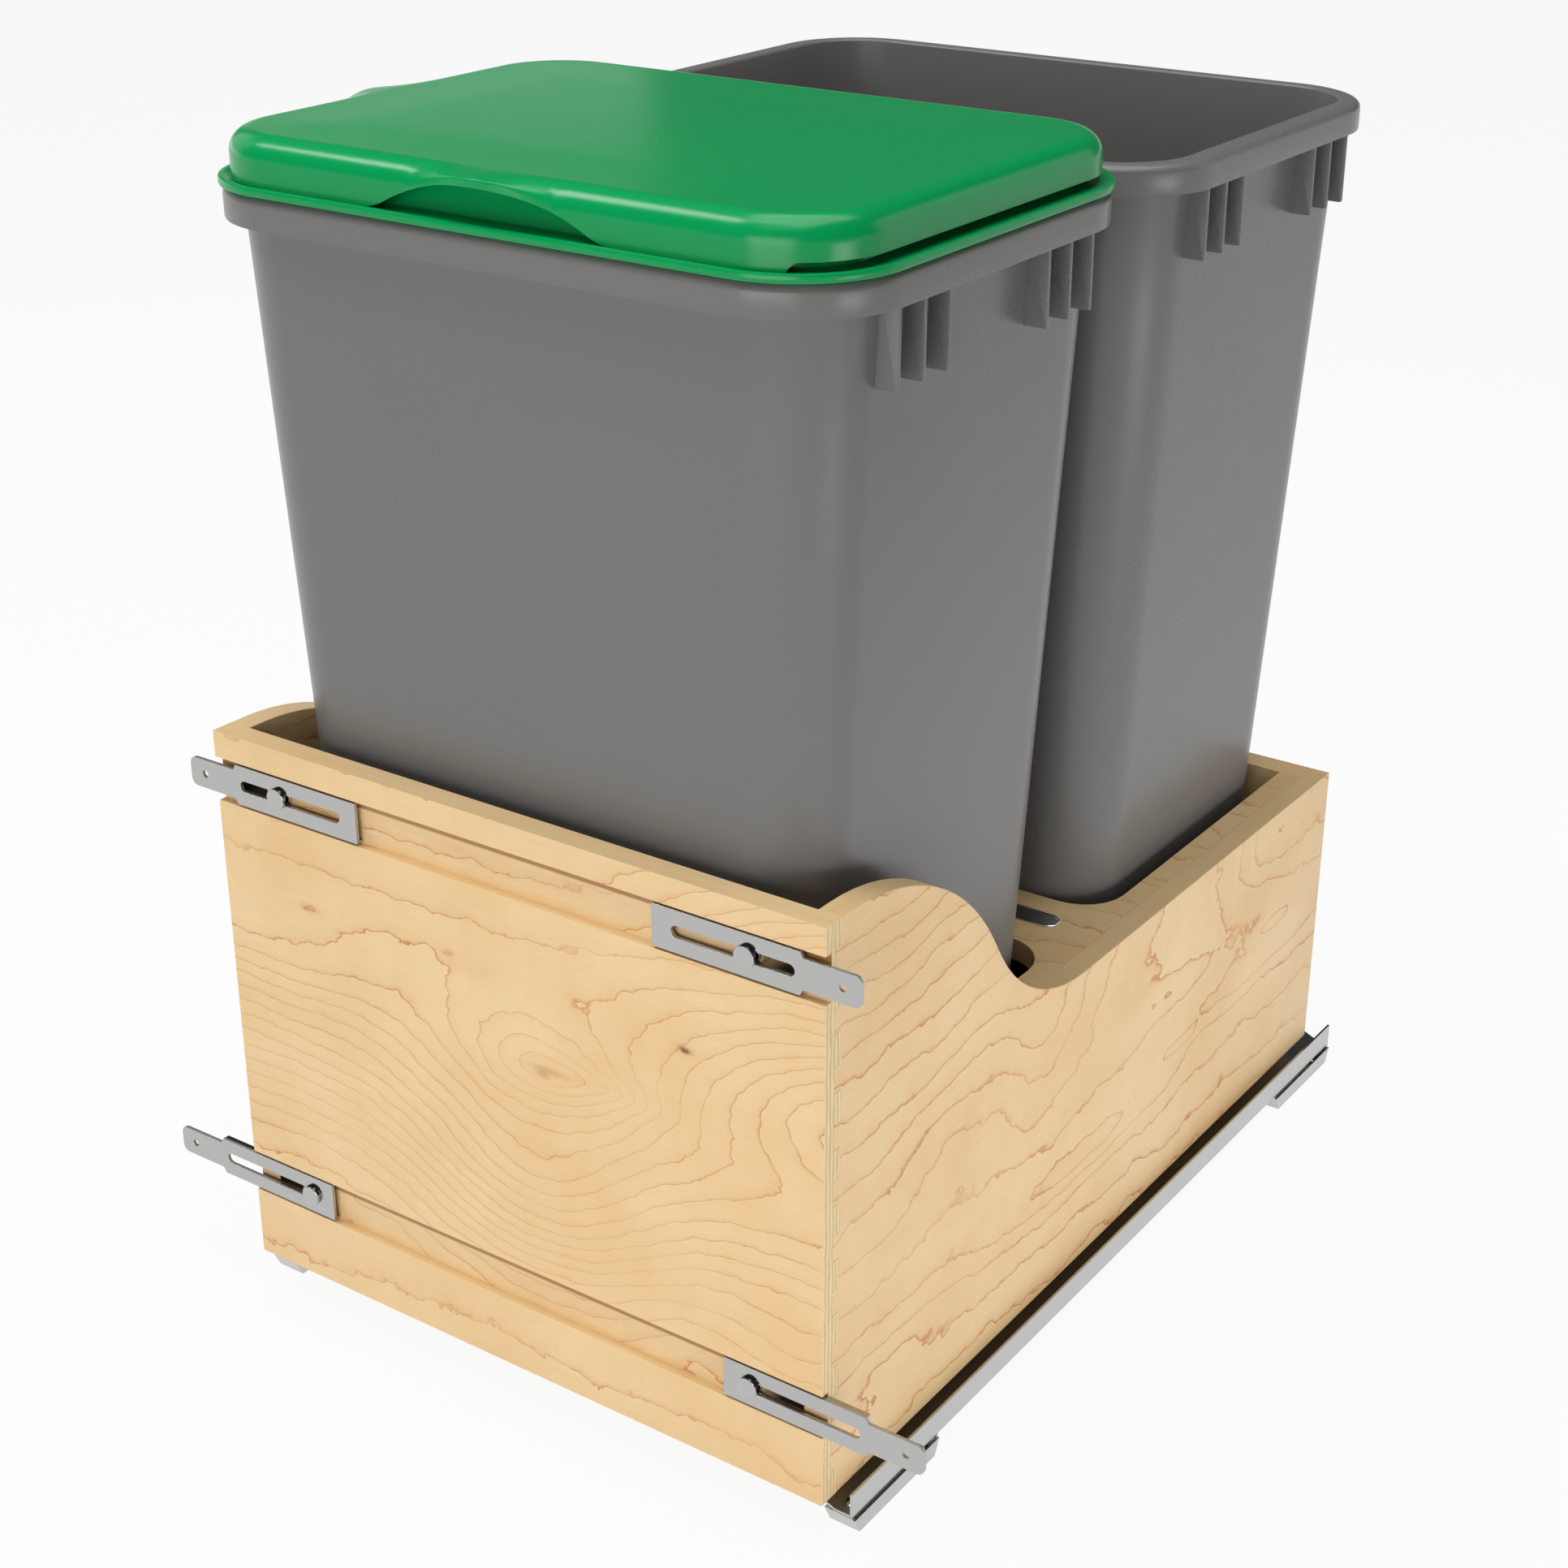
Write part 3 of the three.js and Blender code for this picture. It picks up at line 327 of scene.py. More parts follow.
def maple(name, along, across, through, spacing, humps=(), waves=1.5, sharp=900.0, seed=0.0,
          tone=1.0, ply_ends=(), bands=(), knots=(), pockets=(), groove_shadows=()):
    """Rotary-cut maple plywood. Its rings are a spacing apart, moved by humps, waves and bands,
    with crisper lines the higher sharp is. Edges that look along an axis in ply_ends show the
    plies, and the other edges are banded."""
    g = Board(name, along, across, through, bands, seed, tone)
    figure = g.figure(spacing, humps, waves, sharp)
    fibre = g.noise(g.grain(26.0, 620.0), detail=3.0, roughness=0.6)
    fleck = g.ramp(g.noise(g.grain(150.0, 1500.0, offset=3.0), detail=1.0), 0.19, 0.3)
    curl = g.noise(g.grain(1.0, 0.3, offset=9.0), scale=75.0, detail=1.5)
    cloud = g.noise(g.place, scale=15.0, detail=3.0)
    warmth = 0.42 + cloud * 1.5 + fibre * 0.55 + curl * 0.35
    marks = g.math("ADD", figure, fleck * 0.1, clamp=True)
    face = g.mix(marks, g.mix(warmth, g.pale, g.warm), g.line)
    # knots, then painted shadow on the grooves' floor under their upper edge
    face = g.with_painted_groove_shadow(g.with_knots(face, knots), groove_shadows)
    colour = g.mix(g.facing(through, 0.55, 0.75), g.banding(cloud), face)
    for axis in ply_ends:
        colour = g.mix(g.facing(axis, 0.6, 0.8), colour, g.plies())
    # painted shade in the routed pockets
    colour = g.with_pocket_shade(colour, pockets)

    g.set(Base_Color=colour, Roughness=0.43 + fibre * 0.16 + figure * 0.12)
    g.set(Coat_Weight=0.22, Coat_Roughness=0.3)
    relief = fibre * 0.6 + figure * -0.5 + fleck * -0.5
    g.bump(relief, distance=0.12 * MM, strength=0.5)
    return g.material


# ---- steel and plastic

ROLLED_ALONG = 40.0  # scale of the rolling lines along them, in waves per metre
ROLLED_ACROSS = 1400.0


def plated_steel(name, colour, roughness, grain_axis, cloudiness=0.06, sheared=None):
    """Zinc-plated sheet: fine rolling lines along one axis, faint clouding and handling marks.
    sheared is the sheet's thin direction and its span there, in millimetres: its cut edges
    are matt."""
    g = Graph(name)
    position = g.coords.outputs["Object"]
    axes = g.xyz(position)
    stretch = [ROLLED_ACROSS, ROLLED_ACROSS, ROLLED_ACROSS]
    stretch[AXES[grain_axis]] = ROLLED_ALONG
    lines = g.noise(g.scaled(axes, stretch))
    cloud = g.noise(position, scale=55.0, detail=3.0)
    speck = g.ramp(g.noise(position, scale=900.0, detail=1.0), 0.16, 0.3)
    shade = 0.7 + cloud * 0.8 + lines * 0.15 + speck * -0.15
    darker = srgb(*colour, 1 - 3 * cloudiness)
    g.set(Base_Color=g.mix(shade, darker, srgb(*colour)), Metallic=1.0)
    rough = roughness + cloud * 0.07 + lines * 0.03
    if sheared:
        thin, low, high = sheared
        rough += g.facing(thin, 0.7, 0.3) * g.between(axes[AXES[thin]], low, high) * 0.4
    g.set(Roughness=rough)
    g.bump(lines + cloud * 0.3, distance=0.02 * MM, strength=0.12)
    return g.material


def moulded_plastic(name, colour, depth, roughness, grain, specular, scuffed, relief):
    """Injection-moulded plastic: fine tooled grain, slow flow shading and light scuffs. depth
    is how much darker the flow shading gets, and grain is the scale of the tooling."""
    g = Graph(name)
    position = g.coords.outputs["Object"]
    axes = g.xyz(position)
    flow = g.noise(g.scaled(axes, (1.0, 1.0, 0.35)), scale=6.0, detail=3.0)
    tooled = g.noise(position, scale=grain)
    scuff = g.ramp(g.noise(g.scaled(axes, (90.0, 90.0, 700.0))), 0.17, 0.27)
    share = 0.55 + flow * 1.1 + tooled * 0.1
    g.set(Base_Color=g.mix(share, srgb(*colour, 1 - depth), srgb(*colour)))
    g.set(Roughness=roughness + flow * 0.05 + tooled * 0.03 + scuff * scuffed)
    g.set(Specular_IOR_Level=specular)
    g.bump(tooled + scuff * (-3 * scuffed), distance=0.04 * MM, strength=relief)
    return g.material


# ---- mesh helpers


def add_object(name, data):
    """A new object in the scene."""
    made = bpy.data.objects.new(name, data)
    bpy.context.scene.collection.objects.link(made)
    return made


def mesh_from(name, vertices, faces):
    mesh = bpy.data.meshes.new(name)
    mesh.from_pydata(vertices, [], faces)
    return mesh


def add_piece(name, mesh, body, material):
    """A mesh as a piece of the scene, riding on a CAD body."""
    made = add_object(name, mesh)
    mesh.materials.clear()
    mesh.materials.append(material)
    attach(made, body)
    return made


def new_piece(name, shape, body, material, node=None):
    """A piece from vertices and faces, in place of a CAD node if one is named."""
    mesh = mesh_from(name, *shape)
    mesh.validate()
    made = add_piece(name, mesh, body, material)
    if node:
        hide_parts(node)
    return made


def face_out(made):
    """Turns every face of a closed piece outward."""
    work = bmesh.new()
    work.from_mesh(made.data)
    bmesh.ops.recalc_face_normals(work, faces=work.faces)
    work.to_mesh(made.data)
    work.free()


def smooth(made, degrees=32):
    """Smooth shading that keeps edges sharper than the given angle."""
    limit = math.radians(degrees)
    work = bmesh.new()
    work.from_mesh(made.data)
    for face in work.faces:
        face.smooth = True
    for edge in work.edges:
        edge.smooth = not (len(edge.link_faces) == 2 and edge.calc_face_angle() > limit)
    work.to_mesh(made.data)
    work.free()


def ease_edges(made, width, segments=2, degrees=32, harden=True):
    """Rounds the edges sharper than an angle."""
    bevel = made.modifiers.new("eased", "BEVEL")
    bevel.width = width
    bevel.segments = segments
    bevel.limit_method = "ANGLE"
    bevel.angle_limit = math.radians(degrees)
    bevel.use_clamp_overlap = True
    bevel.harden_normals = harden
    bevel.miter_outer = "MITER_ARC"
    smooth(made, degrees)


def carve(made, shape):
    """Cuts a closed shape, as vertices and faces, out of a piece for good."""
    tool = add_object("cutter", mesh_from("cutter", *shape))
    face_out(tool)
    cutting = made.modifiers.new("cut", "BOOLEAN")
    cutting.object = tool
    cutting.operation = "DIFFERENCE"
    cutting.solver = "EXACT"
    cutting.use_self = True
    bpy.context.view_layer.update()
    graph = bpy.context.evaluated_depsgraph_get()
    result = bpy.data.meshes.new_from_object(made.evaluated_get(graph))
    made.modifiers.clear()
    made.data = result
    bpy.data.objects.remove(tool)


SAME_POINT = 0.02 * MM  # points of the CAD mesh closer than this are one
SAME_PLANE = math.radians(0.3)  # and so are faces that meet at less than this angle


def refined(node, material, width):
    """A finished copy of a CAD node: the same solid with clean faces and eased edges."""
    source = frame["nodes"][node]
    name = node + "_finished"
    work = bmesh.new()
    work.from_mesh(source.data)
    bmesh.ops.remove_doubles(work, verts=work.verts, dist=SAME_POINT)
    bmesh.ops.dissolve_limit(work, angle_limit=SAME_PLANE, verts=work.verts, edges=work.edges)
    mesh = bpy.data.meshes.new(name)
    work.to_mesh(mesh)
    work.free()
    made = add_piece(name, mesh, source["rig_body"], material)
    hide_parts(node)
    ease_edges(made, width)


def skin(rings, closed=False):
    """Vertices and faces through rings of equal counts, capped or joined last to first."""
    count = len(rings[0])
    vertices = [point for ring in rings for point in ring]
    faces = []
    spans = len(rings) if closed else len(rings) - 1
    for r in range(spans):
        low = r * count
        high = ((r + 1) % len(rings)) * count
        for i in range(count):
            j = (i + 1) % count
            faces.append((low + i, low + j, high + j, high + i))
    if not closed:
        faces.append(tuple(reversed(range(count))))
        faces.append(tuple(range(len(vertices) - count, len(vertices))))
    return vertices, faces


def quarter(steps, first=0):
    """Sine and cosine of the turns of a quarter circle, from its first step to its last."""
    turns = [math.pi / 2 * i / steps for i in range(first, steps + 1)]
    return [(math.sin(turn), math.cos(turn)) for turn in turns]


def turned(profile, centre, axis, sides=48):
    """A solid of revolution about an axis through centre: profile is (radius, distance along)."""
    frames = {
        "y": (Vector((0, 0, 1)), Vector((1, 0, 0)), Vector((0, 1, 0))),
        "z": (Vector((1, 0, 0)), Vector((0, 1, 0)), Vector((0, 0, 1))),
    }
    first, second, forward = frames[axis]
    rings = []
    for radius, along in profile:
        ring = []
        for i in range(sides):
            turn = 2 * math.pi * i / sides
            spot = Vector(centre) + forward * along
            spot += first * radius * math.cos(turn) + second * radius * math.sin(turn)
            ring.append(tuple(spot))
        rings.append(ring)
    return skin(rings)


CORNER_GUARD = 3 * MM


def rounded_ring(half_x, half_y, radius, z, centre_y, steps=20):
    """A level ring round a rectangle with rounded corners, with a support point beside each
    corner's ends so that the flat sides stay flat in the shading."""
    points = []
    corners = ((1, -1, -0.5), (1, 1, 0.0), (-1, 1, 0.5), (-1, -1, 1.0))
    for sx, sy, start in corners:
        cx = sx * (half_x - radius)
        cy = sy * (half_y - radius)
        turns = [math.pi * (start + 0.5 * i / steps) for i in range(steps + 1)]
        arc = [(cx + radius * math.cos(t), cy + radius * math.sin(t)) for t in turns]
        first, last = turns[0], turns[-1]
        enter = (arc[0][0] + CORNER_GUARD * math.sin(first), arc[0][1] - CORNER_GUARD * math.cos(first))
        leave = (arc[-1][0] - CORNER_GUARD * math.sin(last), arc[-1][1] + CORNER_GUARD * math.cos(last))
        points += [enter, *arc, leave]
    return [(x, centre_y + y, z) for x, y in points]


# ---- bins

RIM_LEDGE = (11.15 * MM, 9.7 * MM)  # how far the rim stands out from the body, in x and y
RIM_RADIUS = 52 * MM
RIM_DROP = 15 * MM
RIM_ROUND = 4.2 * MM
RIM_ROLL = 1.25  # the rim's top round is this much wider than high
MOUTH_ROUND = 1.6 * MM
BODY_RADIUS = 40 * MM
BIN_WALL = 2.4 * MM
BIN_FOOT = 8 * MM
LONG_DRAFT = math.tan(math.radians(2.92))
SHORT_DRAFT = math.tan(math.radians(1.77))
CORNER_TAPER = 0.0118
BODY_LEVELS = (400 * MM, 200 * MM, 60 * MM)  # rings of the body, down from the rim's foot
# The fillet from the body to the rim's ledge: drop below the ledge, and reach outward.
LEDGE_FILLET = ((3 * MM, 0.0), (0.9 * MM, 0.5 * MM), (0.0, 2.6 * MM))
LEDGE_CORNER = 1.2 * MM
# The rim's lower edge, from its inside round to its outside: rise above its foot, and inset.
RIM_EDGE = (
    (0.6 * MM, BIN_WALL), (0.12 * MM, BIN_WALL - 0.4 * MM), (0.0, BIN_WALL - 1.0 * MM),
    (0.0, 0.8 * MM), (0.2 * MM, 0.22 * MM), (0.9 * MM, 0.0),
)
FIN_DROP = 35.3 * MM
FIN_PITCH = 19.45 * MM
FIN_THICKNESS = 2.0 * MM
FIN_CORNER = 1.0 * MM
FIN_EASE = 0.35 * MM
FIN_ROOT = 0.3 * MM  # how far a fin reaches into the rim's ledge


def bin_shell(node, material):
    """One bin, as the CAD solid but with finely rounded corners, rim and foot."""
    low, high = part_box(node)
    half = ((high.x - low.x) / 2, (high.y - low.y) / 2)
    centre_y = (low.y + high.y) / 2
    rim_bottom = high.z - RIM_DROP
    ledge = high.z - BIN_WALL

    def body(z, inset):
        drop = rim_bottom - z
        radius = BODY_RADIUS - drop * CORNER_TAPER
        half_x = half[0] - RIM_LEDGE[0] - drop * LONG_DRAFT
        half_y = half[1] - RIM_LEDGE[1] - drop * SHORT_DRAFT
        return rounded_ring(half_x - inset, half_y - inset, radius - inset, z, centre_y)

    def rim(z, inset):
        return rounded_ring(half[0] - inset, half[1] - inset, RIM_RADIUS - inset, z, centre_y)

    foot = [(BIN_FOOT * (1 - sine), BIN_FOOT * (1 - cosine)) for sine, cosine in quarter(8)]
    levels = [rim_bottom - drop for drop in BODY_LEVELS]
    rings = [body(low.z + rise, inset) for inset, rise in foot]
    rings += [body(z, 0) for z in levels]
    rings += [body(ledge - drop, -out) for drop, out in LEDGE_FILLET]
    rings += [rim(ledge, BIN_WALL + LEDGE_CORNER), rim(ledge - LEDGE_CORNER, BIN_WALL)]
    rings += [rim(rim_bottom + rise, inset) for rise, inset in RIM_EDGE]
    for sine, cosine in quarter(7):
        rings.append(rim(high.z - RIM_ROUND * (1 - sine), RIM_ROUND * RIM_ROLL * (1 - cosine)))
    for sine, cosine in quarter(5):
        rings.append(body(high.z - MOUTH_ROUND * (1 - cosine), BIN_WALL - MOUTH_ROUND * (1 - sine)))
    rings += [body(z, BIN_WALL) for z in reversed(levels)]
    rings += [body(low.z + BIN_WALL + rise, BIN_WALL + inset) for inset, rise in reversed(foot)]
    vertices, faces = skin(rings)

    straight = half[1] - RIM_RADIUS
    offsets = [sign * (straight - FIN_PITCH * i) for sign in (-1, 1) for i in range(3)]
    for offset in offsets:
        for sign in (-1, 1):
            fin_vertices, fin_faces = bin_fin(sign, centre_y + offset, half, rim_bottom, ledge)
            start = len(vertices)
            vertices += fin_vertices
            faces += [tuple(start + i for i in face) for face in fin_faces]
    shape = (vertices, faces)
    smooth(new_piece(node + "_shell", shape, node, material, node), 40)


def bin_fin(sign, y, half, rim_bottom, ledge):
    """One upright fin under the rim: a thin plate with a rounded outer edge and foot corner."""
    low = rim_bottom - FIN_DROP
    top = ledge + FIN_ROOT
    inner = half[0] - RIM_LEDGE[0] - BIN_WALL / 2
    outer = half[0] - BIN_WALL * 0.6
    outline = [(inner - FIN_DROP * LONG_DRAFT, low), (outer - FIN_CORNER, low)]
    for sine, cosine in quarter(4, first=1):
        outline.append((outer - FIN_CORNER + FIN_CORNER * sine, low + FIN_CORNER * (1 - cosine)))
    outline += [(outer, top), (inner, top)]
    thick = FIN_THICKNESS / 2
    near = ((FIN_EASE, 0.0), (FIN_EASE * 0.3, FIN_EASE * 0.3), (0.0, FIN_EASE))
    sections = [(shrink, depth - thick) for shrink, depth in near]
    sections += [(shrink, thick - depth) for shrink, depth in reversed(near)]
    rings = []
    for shrink, side in sections:
        rings.append([
            (sign * (x - shrink * (x > inner)), y + side, max(z, low + shrink)) for x, z in outline
        ])
    vertices, faces = skin(rings)
    if sign > 0:
        faces = [tuple(reversed(face)) for face in faces]
    return vertices, faces


# ---- lid

BRIM_RADIUS = 50 * MM
BRIM_THICKNESS = 4 * MM
BRIM_BEAD = 3 * MM
BRIM_GUTTER = 1.2 * MM
BRIM_EASE = 0.7 * MM
COLLAR_INSET = 16 * MM
COLLAR_RISE = 14.5 * MM
LID_SKIRT = 12 * MM
LID_WALL = 2 * MM
BRIM_CORNER_STEPS = 24
COVER_INSET = (6.5 * MM, 5.6 * MM)
COVER_RADIUS = 44 * MM
COVER_LEAST_BEND = 8 * MM  # corner radius of the innermost rings of the cover
COVER_TOP = 21.6 * MM
COVER_ROUND = 11 * MM
COVER_CROWN = 0.5 * MM
COVER_EASE = 0.55 * MM
COVER_PLAY = 0.3 * MM  # between the cover's foot and the gutter
COVER_ROWS = 22
COVER_CORNER_STEPS = 44
COVER_RUN_STEPS = 72
CROWN_RINGS = range(13, 70, 4)  # insets in millimetres
CROWN_RUN = 52 * MM
SCOOP_WIDTH = 124 * MM
SCOOP_RISE = 17 * MM
SCOOP_FILLET = 28 * MM
LIP = 6 * MM
LIP_HALF = 48 * MM
LIP_BAND = 3 * MM
LIP_BAND_STEPS = 5
LIP_EDGE = 0.9 * MM
STEP_INSET = 22.5 * MM  # the hinge side's higher edge starts this far in from the right
STEP_RUN = 3 * MM
STEP_RISE = 3.2 * MM
MOST_ROUND_CUT = 0.98  # the edge may cut the shoulder's round up to this share of its height


def lid_measures():
    low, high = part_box("lid_frame")
    brim_bottom = low.z + LID_SKIRT
    return {
        "half": ((high.x - low.x) / 2, (high.y - low.y) / 2),
        "centre_y": (low.y + high.y) / 2,
        "brim_bottom": brim_bottom,
        "brim_top": brim_bottom + BRIM_THICKNESS,
        "gutter": brim_bottom + BRIM_THICKNESS - BRIM_GUTTER,
        "skirt_bottom": low.z,
    }


def lid_frame_ring(material):
    """The lid's frame: a beaded brim on the bin's rim, a collar above it and a skirt below."""
    m = lid_measures()
    low, top, gutter = m["brim_bottom"], m["brim_top"], m["gutter"]
    collar_top = top + COLLAR_RISE - LID_WALL
    inner = COLLAR_INSET + LID_WALL + 0.5 * MM
    soft = BRIM_EASE
    outer_edge = [
        (soft, low), (soft * 0.3, low + soft * 0.3), (0, low + soft),
        (0, top - soft * 1.4), (soft * 0.4, top - soft * 0.4), (soft * 1.4, top),
    ]
    bead_to_gutter = [
        (BRIM_BEAD - 0.4 * MM, top), (BRIM_BEAD + 0.5 * MM, top - 0.2 * MM),
        (BRIM_BEAD + LID_WALL - 0.6 * MM, gutter + 0.2 * MM), (BRIM_BEAD + LID_WALL + 0.3 * MM, gutter),
    ]
    collar = [
        (COLLAR_INSET - 1.2 * MM, gutter), (COLLAR_INSET - 0.3 * MM, gutter + 0.35 * MM),
        (COLLAR_INSET, gutter + 1.2 * MM), (COLLAR_INSET + 0.5 * MM, collar_top - 0.5 * MM),
        (COLLAR_INSET + 0.8 * MM, collar_top), (inner - 0.3 * MM, collar_top),
        (inner, collar_top - 0.5 * MM),
    ]
    skirt = [(inner, m["skirt_bottom"]), (inner - LID_WALL, m["skirt_bottom"]), (inner - LID_WALL, low)]
    rings = []
    for inset, z in (*outer_edge, *bead_to_gutter, *collar, *skirt):
        half_x, half_y = m["half"][0] - inset, m["half"][1] - inset
        radius = BRIM_RADIUS - inset
        rings.append(rounded_ring(half_x, half_y, radius, z, m["centre_y"], BRIM_CORNER_STEPS))
    shape = skin(rings, closed=True)
    made = new_piece("lid_frame_ring", shape, "lid_frame", material, "lid_frame")
    smooth(made, 38)


def lip_share(along):
    """One at the middle of a scoop's lip, fading to nothing at its ends."""
    return math.cos(math.pi * along / (2 * LIP_HALF)) ** 2 if abs(along) < LIP_HALF else 0.0


def scoop_height(along):
    """Rise of a scoop's arch above the cover's foot: a round arch with a fillet at each end."""
    along = abs(along)
    half = SCOOP_WIDTH / 2
    radius = (half**2 + SCOOP_RISE**2) / (2 * SCOOP_RISE)
    end = math.sqrt((radius + SCOOP_FILLET) ** 2 - (radius + SCOOP_FILLET - SCOOP_RISE) ** 2)
    meeting = end * radius / (radius + SCOOP_FILLET)
    if along < meeting:
        return SCOOP_RISE - radius + math.sqrt(radius**2 - along**2)
    if along < end:
        return SCOOP_FILLET - math.sqrt(SCOOP_FILLET**2 - (end - along) ** 2)
    return 0.0


# A station round the cover, on a corner or a straight run: the side or corner that it is on,
# its turn or its distance along, its share of a lip and the rise of the scoop's arch there.
Station = namedtuple("Station", "at_corner sx sy where lip arch")


def cover_stations(half):
    """Stations round the cover, with scoops in the left and the front side."""
    stations = []
    flat = [half[0] - COVER_RADIUS, half[1] - COVER_RADIUS]

    def corner(sx, sy, start):
        for i in range(COVER_CORNER_STEPS + 1):
            turn = math.pi * (start + 0.5 * i / COVER_CORNER_STEPS)
            stations.append(Station(True, sx, sy, turn, 0.0, 0.0))

    def run(sx, sy, limit, scooped):
        for i in range(1, COVER_RUN_STEPS):
            along = limit * (2 * i / COVER_RUN_STEPS - 1)
            share = lip_share(along) if scooped else 0.0
            arch = scoop_height(along) if scooped else 0.0
            stations.append(Station(False, sx, sy, along, share, arch))

    corner(1, -1, -0.5)
    run(1, 0, flat[1], False)
    corner(1, 1, 0.0)
    run(0, 1, flat[0], False)
    corner(-1, 1, 0.5)
    run(-1, 0, flat[1], True)
    corner(-1, -1, 1.0)
    run(0, -1, flat[0], True)
    return stations


def cover_point(station, half, inset):
    """Plan position of a station at an inset from the cover's edge; a lip's inset is negative."""
    sx, sy, where = station.sx, station.sy, station.where
    bend = max(COVER_RADIUS - max(inset, 0.0), COVER_LEAST_BEND)
    if station.at_corner:
        cx = sx * (half[0] - inset - bend)
        cy = sy * (half[1] - inset - bend)
        return cx + bend * math.cos(where), cy + bend * math.sin(where)
    straight = [size - max(inset, 0.0) - bend for size in half]
    flat = [size - COVER_RADIUS for size in half]
    if sx:
        return sx * (half[0] - inset), sx * where * straight[1] / flat[1]
    return -sy * where * straight[0] / flat[0], sy * (half[1] - inset)


def plain_rows(base, edge):
    """(inset, z) up the cover's wall and round its shoulder, which starts at base."""
    if edge < base:
        wall = [(0.0, edge + (base - edge) * i / 6) for i in range(6)]
        first = 0.0
    else:
        wall = []
        first = math.asin(min((edge - base) / COVER_ROUND, MOST_ROUND_CUT))
    left = COVER_ROWS - len(wall)
    for i in range(left + 1):
        turn = first + (math.pi / 2 - first) * i / left
        wall.append((COVER_ROUND * (1 - math.cos(turn)), base + COVER_ROUND * math.sin(turn)))
    return wall


def lip_rows(top, edge):
    """(inset, z) up a lip: an upright band, a crisp edge and a visor back to the top."""
    band = min(LIP_BAND, top - edge - 1.1 * LIP_EDGE)
    rows = [(-LIP, edge + band * i / LIP_BAND_STEPS) for i in range(LIP_BAND_STEPS + 1)]
    for sine, cosine in quarter(4, first=1):
        rows.append((-LIP + LIP_EDGE * (1 - cosine), edge + band + LIP_EDGE * sine))
    start, low = rows[-1]
    left = COVER_ROWS + 1 - len(rows)
    for i in range(1, left + 1):
        share = i / left
        z = low + (top - low) * math.sin(math.pi / 2 * share)
        rows.append((start + (COVER_ROUND - start) * share, z))
    return rows


def lid_cover_dome(material):
    """The lid's cover: a shallow dome with two finger scoops under flared lips, and a skirt
    that is cut higher round the hinge side."""
    m = lid_measures()
    half = (m["half"][0] - COVER_INSET[0], m["half"][1] - COVER_INSET[1])
    peak = m["brim_top"] + COVER_TOP
    foot = m["gutter"] + COVER_PLAY
    stations = cover_stations(half)
    step_start = half[0] - STEP_INSET

    def edge_height(station):
        x, _ = cover_point(station, half, 0.0)
        lift = min(max((x - step_start) / STEP_RUN, 0.0), 1.0)
        raised = m["brim_top"] + STEP_RISE * lift if lift > 0 else foot
        return max(raised, foot + station.arch)

    def rows_at(station, top):
        """(inset, z) of one station's rows, blended into the lip by its share."""
        edge = edge_height(station)
        rows = plain_rows(top - COVER_ROUND, edge)
        if station.lip == 0:
            return rows
        return [
            (inset + (lip_inset - inset) * station.lip, z + (lip_z - z) * station.lip)
            for (inset, z), (lip_inset, lip_z) in zip(rows, lip_rows(top, edge))
        ]

    def ring(insets, heights):
        points = []
        for station, inset, z in zip(stations, insets, heights):
            x, y = cover_point(station, half, inset)
            points.append((x, m["centre_y"] + y, z))
        return points

    def sheet(depth):
        """Rings of one face of the cover, a depth inside its outer face, from edge to crown."""
        top = peak - COVER_CROWN - depth
        columns = [rows_at(station, top) for station in stations]
        rings = []
        for rows in zip(*columns):
            rings.append(ring([depth + inset for inset, _ in rows], [z for _, z in rows]))
        for extra in CROWN_RINGS:
            share = min(max((extra * MM - COVER_ROUND) / CROWN_RUN, 0.0), 1.0)
            z = top + COVER_CROWN * share * share * (3 - 2 * share)
            rings.append(ring([depth + extra * MM] * len(stations), [z] * len(stations)))
        return rings

    shape = skin([*reversed(sheet(LID_WALL)), *sheet(0.0)])
    made = new_piece("lid_cover_dome", shape, "lid_cover", material, "lid_cover")
    ease_edges(made, COVER_EASE, segments=3, degrees=50, harden=False)


HINGE_INSET = 5.2 * MM
HINGE_RISE = 6.3 * MM
HINGE_FROM_END = 63 * MM
HINGE_PLAY = 0.4 * MM
HINGE_BORE = 1.45 * MM
HINGE_EASE = 0.25 * MM
KNUCKLE_RADIUS = 2.4 * MM
KNUCKLE_LENGTH = 14 * MM
LUG_THICKNESS = 3 * MM
LUG_REACH = 5.6 * MM
BORE_SIDES = 24
BORE_OVERRUN = 1 * MM


def bored_block(name, outline, span, centre, body, material):
    """A block with an outline in (x, z), drawn out along y over a span, with a pin's bore."""
    near, far = span
    shape = skin([[(x, y, z) for x, z in outline] for y in span])
    made = new_piece(name, shape, body, material)
    face_out(made)
    bore = [(HINGE_BORE, -BORE_OVERRUN), (HINGE_BORE, far - near + BORE_OVERRUN)]
    carve(made, turned(bore, (centre[0], near, centre[1]), "y", BORE_SIDES))
    ease_edges(made, HINGE_EASE, degrees=40)


